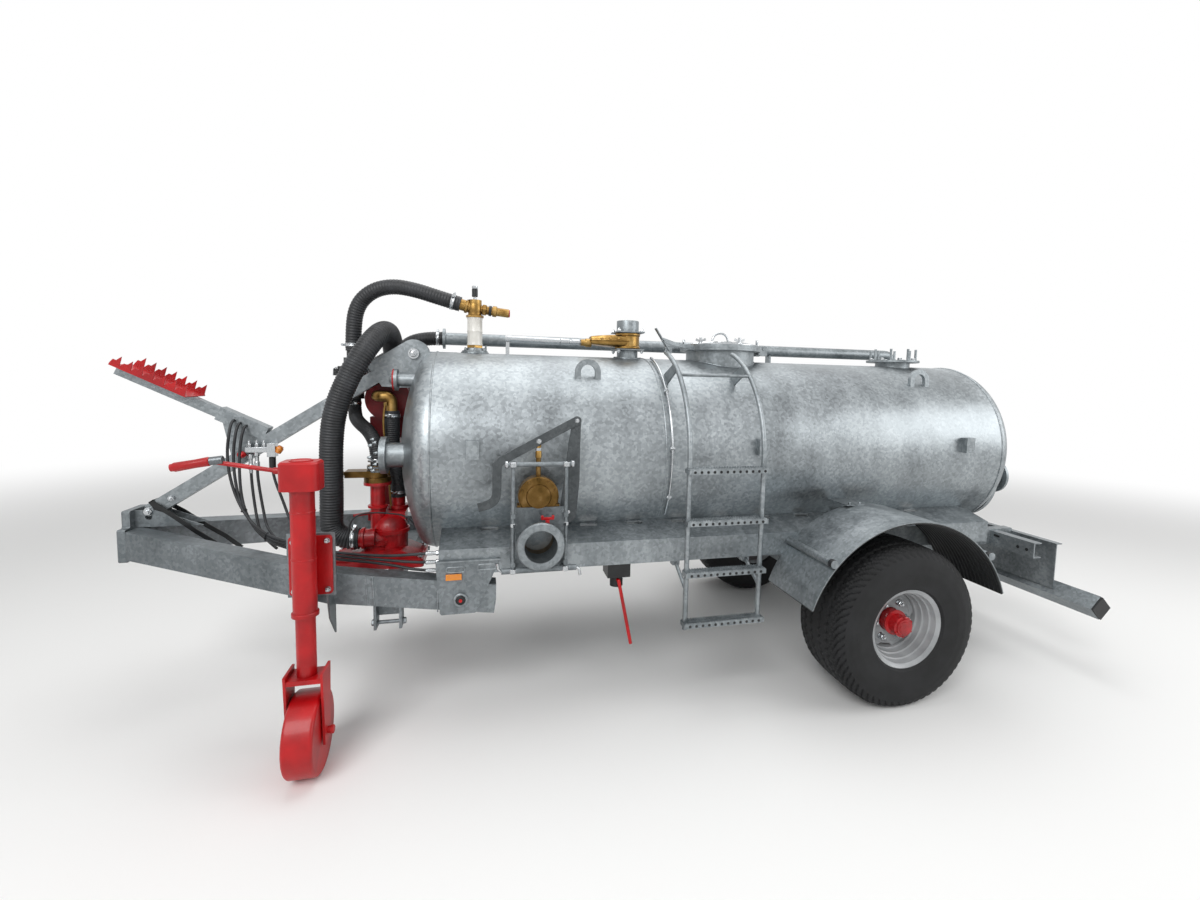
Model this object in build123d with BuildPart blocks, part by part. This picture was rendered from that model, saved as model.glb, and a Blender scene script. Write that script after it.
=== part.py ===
from build123d import *
from math import asin, atan2, cos, degrees, hypot, radians, sin, sqrt, tan
import os

# Single-axle vacuum tanker trailer, all lengths in millimetres. X points forward to the
# hitch, Y to the left-hand side, Z up. Lengths along X are measured from the axle; the
# finished pieces are set back by origin_x, so that the origin lies on the ground under the
# middle of the whole trailer.

os.makedirs("parts", exist_ok=True)

# ---------------------------------------------------------------- driving dimensions
origin_x = 1228             # the axle lies this far behind the origin
tank_radius = 552
tank_axis = 1282            # height of the tank's centre line
tank_front = 2394           # front weld seam
tank_length = 3443          # seam to seam
head_crown = 1250           # crown radius of the dished heads
head_knuckle = 95
seam_bead = 5

sheet = 6                   # folded sills
plate = 8                   # gussets and brackets
gap = 0.3                   # gap between pieces that lie against each other
fit = 0.05                  # radial clearance of a shaft in its bore

sill_side = 620             # outer face of the sill, from the middle plane
sill_bottom = 748
sill_fold = 872             # where the sill's top starts to slope to the tank
sill_edge = 930             # height the sloping top aims for at the tank
sill_edge_side = 400
sill_front = 2347
sill_rear = -900
sill_lip = 60
slot_length = 95
slot_width = 34
slot_pitch = 259
slot_count = 11
slot_first = 2110

gusset_front = 2362
gusset_top = 822
gusset_rear_top = 2060
gusset_rear_bottom = 2176
gusset_bottom = 556

clevis_x = 2578             # forked bracket with a pin under each beam
clevis_gap = 112
clevis_bottom = 500
beam_width = 100
beam_height = 142
beam_rear = 2080
beam_kink = 2820            # where the two beams turn in towards the hitch
beam_front = 3860
beam_front_side = 75        # middle of the beam at its front end
beam_rear_height = 614      # middle of the beam at its rear end
beam_kink_height = 722
beam_front_height = 824
cross_size = 80
cross_depth = 60
cross_spacing = 170

flange_thick = 35
flange_half_width = 125
flange_bottom = 737
flange_step = 903
flange_top = 988
flange_top_half_width = 82
flange_bolt_spacing_y = 160
flange_bolt_spacing_z = 100
flange_bolt_height = 820
flange_bolt_radius = 10.5

strut_size = 70
strut_foot = (3800, 975)    # x, z of the stay's lower end
ear_hole = (2517, 1819)     # x, z of the pin at its upper end
ear_radius = 78
ear_pin_radius = 20
ear_plate = 12

arm_size = 70
arm_inner_size = 50
arm_foot = (3262, 1372)
arm_step = (3480, 1480)
arm_tip = (3915, 1696)
comb_half_width = 100
comb_tooth_pitch = 50
comb_teeth = 7

axle_height = 437
tyre_width = 380
wheel_side = 830            # middle of the tyre, from the middle plane
tyre_radius = 437
rim_radius = 215
rim_seat = 197
rim_width = 330
disc_offset = 35            # wheel disc outside the tyre's middle
axle_size = 80
hanger_width = 120          # blocks that carry the sills on the axle
hanger_length = 220
hub_radius = 62
spindle_radius = 28
hub_length = 110
stud_count = 6
stud_circle = 102.5

guard_x = 20                # centre of the rolled mudguard
guard_height = 406
guard_radius = 609
guard_inner_side = sill_side
guard_outer_side = 1040
guard_sheet = 4
guard_front_angle = 19
guard_rear_angle = 161

jack_x = 2862
jack_side = 818
jack_tube_radius = 46
jack_leg_radius = 38
jack_tube_bottom = 690
jack_head_bottom = 1222
jack_head_top = 1340
jack_flange_side = 722      # bolted face between jack and console
jack_wheel_radius = 172
jack_wheel_width = 118
fork_plate = 10
fork_top = 430

ladder_side = 753
ladder_front = 1142
ladder_rear = 734
ladder_tube = 13
step_top = 1252
step_pitch = 262.5
step_count = 4

manhole_x = 665
manhole_radius = 215
manhole_height = 1905       # top of the neck flange
door_clearance = 6          # between the rear tubes and the rear door
door_radius = 300
door_thick = 16
door_hinge_side = -326
port_side = 150
port_height = 1070
rear_tube_side = 380
panel_x = -1350
panel_half = 710
panel_bottom = 443
panel_top = 728
lamp_x = -1200
bar_x = -1400
bar_height = 415
bar_size = 100
bar_half = 950

manhole_rim = 40
manhole_hinge_side = 40
hinge_x = 382               # pin of the manhole lid
hinge_height = 1918
sight_x = 2191
sight_radius = 44
sight_height = 201
top_valve_x = 1282
pipe_front = 2380
pipe_rear = -900
pipe_side = -300
pipe_height = 1930
pipe_radius = 38
stud_x = -654
stud_circle_radius = 142
top_stud_count = 8
top_stud_radius = 8
eye_front_x = 1592
eye_rear_x = -560
eye_side = 340
eye_thick = 24
eye_radius = 70
bracket_height = 1345
stub_side = 280
stub_height = 1285
upper_stub_side = 160
upper_stub_height = 1673
drain_x = 1460
drain_lever_bottom = 318

pump_x = 2690
pump_side = 120
pump_base = 672
riser_top = 1120
riser_radius = 38
valve_height = 90
pump_foot = 43              # thickness of the pump's foot
pump_foot_size = (470, 270)
pump_hump = 765             # top of the sloped casing over the foot
front_dome = (2700, 140, 74)      # x, side and radius of the pump's two domes
front_dome_height = 800
rear_dome = (2640, 110, 90)
rear_dome_height = 850
delivery_x = 2612           # upright spigot beside the riser
delivery_side = 15
delivery_top = 1012
delivery_radius = 42
elbow_start = (2636, 40, 1500)
elbow_radius = 30
elbow_height = 1580
elbow_x = 2716
fin_depth = 8
fin_pitch = 36
trap_hose_radius = 36
cable_radius = 7            # hydraulic hoses
cable_starts = 28           # their spacing on the hose arm
cable_x = 3350              # the first one's place there
cable_height = 1415
cable_ends = (775, 815, 858)      # their heights on the sill
inlet_radius = 48
compressor_x = 2670
compressor_side = -190
compressor_height = 1560
compressor_radius = 122
compressor_length = 280
compressor_port_x = 2655
trap_x = 2855
trap_side = -100
trap_bottom = 1560
trap_height = 230
trap_neck = 40
trap_radius = 52
suction_radius = 57         # outer radius of the pump's ribbed hose
air_radius = 42             # outer radius of the two air hoses
inlet_x = 2778              # mouth of the pump's inlet, which faces forward
inlet_side = 205
inlet_height = 832
compressor_port_top = 1710
trap_outlet = 1720          # height of the trap's side spigot
trap_outlet_side = -190     # its open end
tee_outlet = 80             # reach of the relief tee's hose spigot
tee_outlet_rise = 21
coupling_x = 1885
valve_face = 640
valve_depth = 60
coupling_height = 930
coupling_bore = 75
coupling_end = 838

tank_rear = tank_front - tank_length
tank_middle = tank_front - tank_length / 2
sill_length = sill_front - sill_rear
tank_top = tank_axis + tank_radius
head_depth = head_crown - sqrt((head_crown - head_knuckle) ** 2 - (tank_radius - head_knuckle) ** 2)
door_x = tank_rear - head_depth - 70
sight_top = tank_top + sight_height
door_height = sill_bottom + sheet + door_clearance + door_radius
suction_route = [(inlet_x, inlet_side, inlet_height), (2914, inlet_side, inlet_height), (2905, 212, 1044),
                 (2902, 222, 1340), (2878, 226, 1520),
                 (2805, 220, 1700), (2735, 190, 1830), (2685, 105, 1920), (2660, -15, 1945),
                 (2655, -125, 1900),
                 (compressor_port_x, compressor_side, 1805),
                 (compressor_port_x, compressor_side, compressor_port_top)]
arch_route = [(trap_x, trap_side, trap_bottom + trap_height + trap_neck), (trap_x, trap_side, 1965),
              (2828, -88, 2088), (2748, -65, 2165), (2640, -40, 2194), (2520, -18, 2178),
              (sight_x + 2.5 * tee_outlet, 0, sight_top + 52 + 2.5 * tee_outlet_rise),
              (sight_x + tee_outlet, 0, sight_top + 52 + tee_outlet_rise)]
air_route = [(trap_x, trap_outlet_side, trap_outlet), (trap_x, -280, trap_outlet), (2790, -350, 1755),
             (2650, -385, 1850), (2535, -300, pipe_height), (pipe_front + 7, pipe_side, pipe_height)]
delivery_route = [(delivery_x, delivery_side, delivery_top), (delivery_x, delivery_side, 1110),
                  (delivery_x + 22, delivery_side, 1200),
                  (elbow_start[0] + 4, elbow_start[1] - 15, 1300), (elbow_start[0], elbow_start[1], 1420),
                  elbow_start]
trap_route = [(pump_x + 10, pump_side, riser_top + valve_height), (pump_x + 10, pump_side, 1300),
              (2740, 80, 1385), (2830, -40, 1435), (trap_x, trap_side, 1475), (trap_x, trap_side,
                                                                               trap_bottom)]
cable_end_side = sill_side - cable_radius - 0.5
cable_routes = [
    [(cable_x + cable_starts * i, arm_size / 2, cable_height + cable_starts * i / 2),
     (cable_x + cable_starts * i, arm_size / 2 + 45, cable_height + cable_starts * i / 2),
     (cable_x + 20 + cable_starts * i, 95, 1230), (3345 + 10 * i, 130, 985 + 14 * i),
     (3220 + 6 * i, 230 - 4 * i, 852 + 16 * i), (3050, 330, 822 + 16 * i), (2850, 470, 812 + 16 * i),
     (2600, 560, 806 + 16 * i), (2430, cable_end_side, end), (sill_front, cable_end_side, end)]
    for i, end in enumerate(cable_ends)]
tank_line = Axis((0, 0, tank_axis), (1, 0, 0))


# ---------------------------------------------------------------- shared helpers
def finish(piece, name):
    """Label a finished solid and write it as one STEP file."""
    placed = Pos(-origin_x, 0, 0) * piece
    placed.label = name
    export_step(placed, f"parts/{name}.step")


def strip(points, left, right=0):
    """Outline of a bent strip along points, its corners mitred."""
    count = len(points)
    normals = []
    for (x0, y0), (x1, y1) in zip(points, points[1:]):
        run = hypot(x1 - x0, y1 - y0)
        normals.append(((y0 - y1) / run, (x1 - x0) / run))
    sides = ([], [])
    for i in range(count):
        before = normals[max(i - 1, 0)]
        after = normals[min(i, count - 2)]
        nx, ny = before[0] + after[0], before[1] + after[1]
        scale = 2 / (nx * nx + ny * ny)
        for side, offset_ in zip(sides, (left, -right)):
            side.append((points[i][0] + nx * scale * offset_, points[i][1] + ny * scale * offset_))
    return sides[0] + sides[1][::-1]


def side_plane(y):
    """Upright plane seen from the left: local x is forward, local y is up."""
    return Plane(origin=(0, y, 0), x_dir=(1, 0, 0), z_dir=(0, -1, 0))


def tank_surface(side, clearance=0.0):
    """Height of the tank's upper surface at a distance from the middle plane."""
    return tank_axis + sqrt((tank_radius + clearance) ** 2 - side ** 2)


def head_reach(radius):
    """How far a dished head stands out from its seam at a distance from its axis."""
    return sqrt(head_crown ** 2 - radius ** 2) - head_crown + head_depth


def tube_between(start, end, radius):
    """Round bar between two points, for use inside a BuildPart."""
    axis = Vector(*end) - Vector(*start)
    with Locations(Plane(origin=start, z_dir=axis)):
        Cylinder(radius, axis.length, align=(Align.CENTER, Align.CENTER, Align.MIN))


def box_between(start, end, size_y, size_z):
    """Rectangular bar in a plane of constant y, for use inside a BuildPart."""
    axis = Vector(*end) - Vector(*start)
    with Locations(Plane(origin=start, x_dir=(0, 1, 0), z_dir=axis)):
        Box(size_y, size_z, axis.length, align=(Align.CENTER, Align.CENTER, Align.MIN))


def hose(points, radius, share=0.45):
    """Round tube of straight runs joined by tangent arcs."""
    corners = [Vector(*point) for point in points]
    radii = []
    for a, b, c in zip(corners, corners[1:], corners[2:]):
        turn = radians((b - a).get_angle(c - b))
        radii.append(share * min((b - a).length, (c - b).length) / tan(turn / 2))
    with BuildPart() as tube:
        with BuildLine() as path:
            FilletPolyline(*corners, radius=radii)
        with BuildSketch(Plane(origin=path.line @ 0, z_dir=path.line % 0)):
            Circle(radius)
        sweep()
    print("hose radii", [round(r) for r in radii])
    return tube.part


def flip(piece):
    """Right-hand twin of a left-hand piece."""
    return mirror(piece, about=Plane.XZ)


# ---------------------------------------------------------------- tank
def make_tank():
    crown_angle = degrees(asin((tank_radius - head_knuckle) / (head_crown - head_knuckle)))
    half = tank_length / 2
    centre_plane = Plane(origin=(tank_middle, 0, tank_axis), x_dir=(1, 0, 0), z_dir=(0, -1, 0))
    with BuildPart() as tank:
        with BuildSketch(centre_plane):
            with BuildLine():
                CenterArc((half + head_depth - head_crown, 0), head_crown, 0, crown_angle)
                CenterArc((half, tank_radius - head_knuckle), head_knuckle, crown_angle, 90 - crown_angle)
                Line((half, tank_radius), (0, tank_radius))
                mirror(about=Plane.YZ)
                Line((-half - head_depth, 0), (half + head_depth, 0))
            make_face()
        revolve(axis=tank_line)
        with BuildSketch(centre_plane):
            with Locations((half, tank_radius), (-half, tank_radius)):
                Circle(seam_bead)
        revolve(axis=tank_line)
    return tank.part


tank = make_tank()


def cut_tank(clearance=0.0):
    """Take the tank's round shell out of the piece being built."""
    with Locations((tank_middle, 0, tank_axis)):
        Cylinder(tank_radius + clearance, tank_length, rotation=(0, 90, 0), mode=Mode.SUBTRACT)


def cut_head(clearance):
    """Take the tank's ball-shaped front envelope out of the piece being built."""
    with Locations((tank_front + head_depth - head_crown, 0, tank_axis)):
        Sphere(head_crown + clearance, mode=Mode.SUBTRACT)


# ---------------------------------------------------------------- sills and saddles
def sill_outline():
    return [(sill_edge_side, sill_edge), (sill_side, sill_fold), (sill_side, sill_bottom),
            (sill_side - sill_lip, sill_bottom)]


def make_sill():
    with BuildPart() as sill:
        with BuildSketch(Plane.YZ.offset(sill_rear)):
            with BuildLine():
                Polyline(*strip(sill_outline(), 0, sheet), close=True)
            make_face()
        extrude(amount=sill_length)
        cut_tank()
        with BuildSketch(Plane.XY.offset(sill_fold)):
            for i in range(slot_count):
                with Locations((slot_first - i * slot_pitch, sill_edge_side + 45)):
                    SlotOverall(slot_length, slot_width)
        extrude(amount=2 * (sill_edge - sill_fold), mode=Mode.SUBTRACT)
    return sill.part


def make_saddles():
    inner = sill_side - sheet
    half = [(inner, sill_bottom + sheet), (inner, sill_fold - 2 * sheet),
            (sill_edge_side, sill_edge - 2 * sheet)]
    with BuildPart() as saddles:
        for x in (sill_rear + 60, -plate / 2, manhole_x, top_valve_x, sill_front - 60):
            with BuildSketch(Plane.YZ.offset(x)):
                with BuildLine():
                    Polyline(*half, *[(-y, z) for y, z in reversed(half)], close=True)
                make_face()
            extrude(amount=plate)
        cut_tank()
    return saddles.part


def make_gusset():
    with BuildPart() as gusset:
        with BuildSketch(side_plane(sill_side)):
            with BuildLine():
                Polyline((gusset_front, gusset_top), (gusset_rear_top, gusset_top),
                         (gusset_rear_bottom, gusset_bottom), (gusset_front - 20, gusset_bottom), close=True)
            gusset_face = make_face()
            fillet(gusset_face.vertices(), 12)
        extrude(amount=-plate)
    return gusset.part


# ---------------------------------------------------------------- drawbar
def beam_heights():
    return [(beam_rear, beam_rear_height), (beam_kink, beam_kink_height), (beam_front, beam_front_height)]


def make_beam():
    middle = sill_side - beam_width / 2
    with BuildPart() as beam:
        with BuildSketch(Plane.XY):
            with BuildLine():
                Polyline(*strip([(beam_rear, middle), (beam_kink, middle), (beam_front, beam_front_side)],
                                beam_width / 2, beam_width / 2), close=True)
            make_face()
            with Locations((beam_front, 0)):
                Rectangle(200, 2 * sill_side, align=(Align.MIN, Align.CENTER), mode=Mode.SUBTRACT)
        extrude(amount=tank_axis)
        with BuildSketch(side_plane(sill_side + 1)):
            with BuildLine():
                Polyline(*strip(beam_heights(), beam_height / 2, beam_height / 2), close=True)
            make_face()
        extrude(amount=2 * sill_side, mode=Mode.INTERSECT)
        cut_bolt_wells(beam_front - 50, 50)
        for x in (clevis_x - clevis_gap / 2, clevis_x + clevis_gap / 2):
            with Locations((x, middle, clevis_bottom)):
                Box(12, 76, beam_level(x) - clevis_bottom, align=(Align.CENTER, Align.CENTER, Align.MIN))
        with Locations((clevis_x, middle, clevis_bottom + 22)):
            Cylinder(9, clevis_gap + 40, rotation=(0, 90, 0))
        with Locations((clevis_x, middle - 32, clevis_bottom + 45)):
            Box(clevis_gap, 6, beam_level(clevis_x) - clevis_bottom - 45,
                align=(Align.CENTER, Align.CENTER, Align.MIN))
    return beam.part


def cut_bolt_wells(x, depth):
    """Clearance holes of the hitch bolts."""
    with Locations(Plane(origin=(x, 0, flange_bolt_height), x_dir=(0, 1, 0), z_dir=(1, 0, 0))):
        with GridLocations(flange_bolt_spacing_y, flange_bolt_spacing_z, 2, 2):
            Cylinder(flange_bolt_radius, depth, align=(Align.CENTER, Align.CENTER, Align.MIN),
                     mode=Mode.SUBTRACT)


def beam_level(x):
    """Height of the beam's middle line at a place along the trailer."""
    (x0, z0), (x1, z1) = beam_heights()[:2] if x < beam_kink else beam_heights()[1:]
    return z0 + (z1 - z0) * (x - x0) / (x1 - x0)


def make_cross_members():
    inner = sill_side - beam_width
    with BuildPart() as members:
        places = [(beam_rear + cross_size, beam_level(beam_rear + cross_size)),
                  (pump_x - cross_spacing / 2 - 15, pump_base), (pump_x + cross_spacing / 2 - 15, pump_base)]
        for x, top in places:
            with Locations((x, 0, top)):
                Box(cross_size, 2 * inner, cross_depth, align=(Align.CENTER, Align.CENTER, Align.MAX))
    return members.part


def hitch_cheeks():
    """Cheeks that hold the stay's foot behind the flange."""
    beam_top = beam_front_height + beam_height / 2
    with BuildPart() as cheeks:
        for y in (strut_size / 2 + plate, -strut_size / 2):
            with BuildSketch(side_plane(y)):
                with BuildLine():
                    Polyline((beam_front, beam_top), (beam_front, flange_top - 6),
                             (beam_front - 90, flange_top - 6), (beam_front - 300, beam_top), close=True)
                make_face()
                with Locations((beam_front - 60, flange_step + 45)):
                    Circle(16, mode=Mode.SUBTRACT)
            extrude(amount=plate)
    return cheeks.part


def make_hitch_flange():
    with BuildPart() as flange:
        with BuildSketch(Plane.YZ.offset(beam_front)):
            with BuildLine():
                Polyline((-flange_half_width, flange_bottom), (flange_half_width, flange_bottom),
                         (flange_half_width, flange_step), (flange_top_half_width, flange_step),
                         (flange_top_half_width, flange_top), (-flange_top_half_width, flange_top),
                         (-flange_top_half_width, flange_step), (-flange_half_width,
                                                                 flange_step), close=True)
            make_face()
        extrude(amount=flange_thick)
        chamfer(flange.edges().filter_by(Axis.X), 6)
        cut_bolt_wells(beam_front, flange_thick)
        add(hitch_cheeks())
    return flange.part


# ---------------------------------------------------------------- stay, hose arm and comb
def point_on_stay(x):
    (x0, z0), (x1, z1) = strut_foot, ear_hole
    return z0 + (z1 - z0) * (x - x0) / (x1 - x0)


def make_stay():
    (x0, z0), (x1, z1) = strut_foot, ear_hole
    with BuildPart() as stay:
        box_between((x0, 0, z0), (x1, 0, z1), strut_size, strut_size)
        with Locations((x1, 0, z1)):
            Cylinder(strut_size / 2, strut_size, rotation=(90, 0, 0))
            Cylinder(ear_pin_radius + gap, strut_size, rotation=(90, 0, 0), mode=Mode.SUBTRACT)
    return stay.part


def ear_pin():
    x, z = ear_hole
    length = strut_size + 2 * ear_plate + 30
    with BuildPart() as pin:
        with Locations((x, 0, z)):
            Cylinder(ear_pin_radius - gap, length, rotation=(90, 0, 0))
        with Locations((x, length / 2, z), (x, -length / 2, z)):
            Cylinder(ear_pin_radius + 8, 6, rotation=(90, 0, 0))
    return pin.part


def make_ears():
    x, z = ear_hole
    with BuildPart() as ears:
        for y in (strut_size / 2 + gap + ear_plate, -strut_size / 2 - gap):
            with BuildSketch(side_plane(y)):
                with BuildLine():
                    Polyline((x - 20, z + ear_radius - 3), (x + 45, z + 64), (x + 245, z - 68),
                             (x + 168, z - 185),
                             (x + 70, z - 190), (x - 230, z - 190), (x - 230, z + 14), (x - 80, z + 14),
                             close=True)
                make_face()
                with Locations((x, z)):
                    Circle(ear_radius)
                    Circle(ear_pin_radius, mode=Mode.SUBTRACT)
            extrude(amount=ear_plate)
        add(tank, mode=Mode.SUBTRACT)
        add(ear_pin())
    return ears.part


def make_arm():
    with BuildPart() as arm:
        box_between((arm_foot[0], 0, arm_foot[1]), (arm_step[0], 0, arm_step[1]), arm_size, arm_size)
        box_between((arm_step[0], 0, arm_step[1]), (arm_tip[0], 0, arm_tip[1]),
                    arm_inner_size, arm_inner_size)
        with BuildSketch(side_plane(plate / 2)):
            with BuildLine():
                Polyline(arm_foot, arm_step, (3430, point_on_stay(3430)), close=True)
            make_face()
        extrude(amount=plate)
        with BuildSketch(side_plane(strut_size)):
            with BuildLine():
                Polyline(*strip([strut_foot, ear_hole], strut_size / 2, strut_size / 2), close=True)
            make_face()
        extrude(amount=2 * strut_size, mode=Mode.SUBTRACT)
    return arm.part


def arm_direction():
    run = hypot(arm_tip[0] - arm_foot[0], arm_tip[1] - arm_foot[1])
    return (arm_tip[0] - arm_foot[0]) / run, (arm_tip[1] - arm_foot[1]) / run


def make_comb():
    """Two rows of hooked teeth on a folded tray, along the arm's upper face."""
    dx, dz = arm_direction()
    length = comb_teeth * comb_tooth_pitch
    start = (arm_tip[0] - dx * length - dz * arm_inner_size / 2,
             arm_tip[1] - dz * length + dx * arm_inner_size / 2)
    tray = Plane(origin=(start[0], 0, start[1]), x_dir=(dx, 0, dz), z_dir=(0, -1, 0))
    tooth = [(6, 12), (16, 60), (30, 34), (44, 34)]
    outline = [(0, 0)]
    for i in range(comb_teeth):
        outline += [(i * comb_tooth_pitch + x, y) for x, y in tooth]
    outline += [(length, 12), (length, 0)]
    with BuildPart() as comb:
        for y in (comb_half_width, -comb_half_width + 4):
            with BuildSketch(tray.offset(-y)):
                with BuildLine():
                    Polyline(*outline, close=True)
                make_face()
            extrude(amount=4)
        with BuildSketch(tray.offset(-comb_half_width)):
            Rectangle(length, 4, align=(Align.MIN, Align.MIN))
        extrude(amount=2 * comb_half_width)
    return comb.part


# ---------------------------------------------------------------- axle and wheels
def make_axle():
    disc = wheel_side + disc_offset
    with BuildPart() as axle:
        with Locations((0, 0, axle_height)):
            Box(axle_size, 2 * (disc - 190), axle_size)
            Cylinder(spindle_radius, 2 * (disc + 40), rotation=(90, 0, 0))
        hanger = sill_side - hanger_width / 2
        with BuildSketch(Plane.XY.offset(axle_height + axle_size / 2)):
            with Locations((0, hanger), (0, -hanger)):
                Rectangle(hanger_length, hanger_width)
        extrude(amount=sill_bottom - axle_height - axle_size / 2)
    return axle.part


def wheel_plane():
    """Upright section through the left wheel's axle: local x outward, local y up."""
    return Plane(origin=(0, wheel_side, axle_height), x_dir=(0, 1, 0), z_dir=(1, 0, 0))


def make_tyre():
    half = tyre_width / 2
    with BuildPart() as tyre:
        with BuildSketch(wheel_plane()):
            with BuildLine():
                Polyline((-half + 40, rim_seat + gap), (-half + 12, rim_radius + 30), (-half, 300),
                         (-half + 8, 385),
                         (-half + 40, tyre_radius - 10), (-half + 90, tyre_radius), (half - 90, tyre_radius),
                         (half - 40, tyre_radius - 10), (half - 8, 385), (half, 300),
                         (half - 12, rim_radius + 30),
                         (half - 40, rim_seat + gap), close=True)
            make_face()
        revolve(axis=Axis((0, 0, axle_height), (0, 1, 0)))
    return tyre.part


def make_rim():
    half = rim_width / 2
    well = rim_seat - 38
    barrel = [(-half, rim_radius), (-half + 12, rim_radius - 20), (-half + 45, rim_seat), (-40, well),
              (40, well),
              (half - 45, rim_seat), (half - 12, rim_radius - 20), (half, rim_radius)]
    with BuildPart() as rim:
        with BuildSketch(wheel_plane()):
            with BuildLine():
                Polyline(*strip(barrel, 0, 6), close=True)
            make_face()
            with BuildLine():
                Polyline((disc_offset - 8, hub_radius), (disc_offset, hub_radius), (disc_offset, 130),
                         (disc_offset + 4, well - 2), (disc_offset - 6, well - 2), (disc_offset - 8,
                                                                                    130), close=True)
            make_face()
        revolve(axis=Axis((0, 0, axle_height), (0, 1, 0)))
    return rim.part


def make_hub():
    with BuildPart() as hub:
        with BuildSketch(wheel_plane()):
            with BuildLine():
                Polyline((disc_offset - 60, spindle_radius + fit), (disc_offset - 60, 110),
                         (disc_offset - 8 - gap, 130),
                         (disc_offset - 8 - gap, hub_radius - gap), (disc_offset + 30, hub_radius - gap),
                         (disc_offset + 50, 44), (disc_offset + hub_length, 40), (disc_offset + hub_length,
                                                                                  0),
                         (disc_offset + 42, 0), (disc_offset + 42, spindle_radius + fit), close=True)
            make_face()
        revolve(axis=Axis((0, 0, axle_height), (0, 1, 0)))
    return hub.part


def make_mudguard():
    with BuildPart() as guard:
        with BuildSketch(side_plane(guard_outer_side)):
            with BuildLine():
                outer = CenterArc((guard_x, guard_height), guard_radius, guard_front_angle,
                                  guard_rear_angle - guard_front_angle)
                offset(outer, amount=guard_sheet, side=Side.RIGHT)
            make_face()
        extrude(amount=guard_outer_side - guard_inner_side)
        for angle in (42, 140):
            a = radians(angle)
            x = guard_x + (guard_radius + 22) * cos(a)
            z = guard_height + (guard_radius + 22) * sin(a)
            with Locations((x, 0, z)):
                with Locations((0, (guard_outer_side + sill_side) / 2, 0)):
                    Cylinder(20, guard_outer_side - sill_side, rotation=(90, 0, 0))
    return guard.part


# ---------------------------------------------------------------- support jack
def make_console():
    """Galvanised console that carries the jack on the left beam."""
    level = beam_level(jack_x)
    with BuildPart() as console:
        with BuildSketch(side_plane(jack_flange_side - gap)):
            with Locations((jack_x, 870)):
                Rectangle(190, 280)
        extrude(amount=plate)
        for x in (jack_x - 60, jack_x + 60):
            with BuildSketch(Plane.YZ.offset(x)):
                with BuildLine():
                    Polyline((sill_side + 60, level - 120), (jack_flange_side - gap - plate, 740),
                             (jack_flange_side - gap - plate, 1000), (sill_side - 30,
                                                                      level + beam_height / 2 + 20),
                             (sill_side - 30, 500), close=True)
                make_face()
            extrude(amount=plate)
        add(beam_left, mode=Mode.SUBTRACT)
    return console.part


def jack_crank():
    z = jack_head_top - 40
    with BuildPart() as crank:
        tube_between((jack_x + 75, jack_side, z), (jack_x + 100, jack_side, z), 14)
        tube_between((jack_x + 92, jack_side, z), (jack_x + 330, jack_side + 10, z + 45), 9)
        tube_between((jack_x + 318, jack_side + 10, z + 44), (jack_x + 450, jack_side + 10, z + 20), 15)
    return crank.part


def make_jack_tube():
    with BuildPart() as tube:
        with BuildSketch(Plane.XY.offset(jack_tube_bottom)):
            with Locations((jack_x, jack_side)):
                Circle(jack_tube_radius)
        extrude(amount=jack_head_bottom - jack_tube_bottom)
        with BuildSketch(Plane.XY.offset(jack_head_bottom)):
            with Locations((jack_x, jack_side)):
                RectangleRounded(150, 120, 30)
        extrude(amount=jack_head_top - jack_head_bottom)
        chamfer(tube.faces().sort_by(Axis.Z)[-1].edges(), 8)
        with BuildSketch(side_plane(jack_side)):
            with Locations((jack_x, 870)):
                Rectangle(20, 240)
        extrude(amount=jack_side - jack_flange_side)
        with BuildSketch(side_plane(jack_flange_side + 10)):
            with Locations((jack_x, 870)):
                RectangleRounded(170, 260, 15)
        extrude(amount=10)
        with BuildSketch(Plane.XY.offset(jack_tube_bottom)):
            with Locations((jack_x, jack_side)):
                Circle(jack_leg_radius + fit)
        extrude(amount=jack_head_bottom - jack_tube_bottom - 8, mode=Mode.SUBTRACT)
        add(jack_crank())
    return tube.part


def make_jack_leg():
    inner = jack_wheel_width / 2 + 6
    with BuildPart() as leg:
        with BuildSketch(Plane.XY.offset(fork_top)):
            with Locations((jack_x, jack_side)):
                Circle(jack_leg_radius)
        extrude(amount=jack_tube_bottom + 120 - fork_top)
        with BuildSketch(Plane.XY.offset(fork_top - 20)):
            with Locations((jack_x, jack_side)):
                Rectangle(2 * (inner + fork_plate), 110)
        extrude(amount=20)
        for x in (jack_x - inner - fork_plate, jack_x + inner):
            with BuildSketch(Plane.YZ.offset(x)):
                with BuildLine():
                    Polyline((jack_side - 60, fork_top + 20), (jack_side + 60, fork_top + 20),
                             (jack_side + 40, 130), (jack_side - 40, 130), close=True)
                make_face()
                with Locations((jack_side, jack_wheel_radius)):
                    Circle(15 + fit, mode=Mode.SUBTRACT)
            extrude(amount=fork_plate)
    return leg.part


def make_jack_wheel():
    inner = jack_wheel_width / 2 + 6 + fork_plate
    with BuildPart() as wheel:
        with Locations((jack_x, jack_side, jack_wheel_radius)):
            Cylinder(jack_wheel_radius, jack_wheel_width, rotation=(0, 90, 0))
            fillet(wheel.edges(), 14)
            Cylinder(15, 2 * inner + 24, rotation=(0, 90, 0))
    return wheel.part


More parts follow.
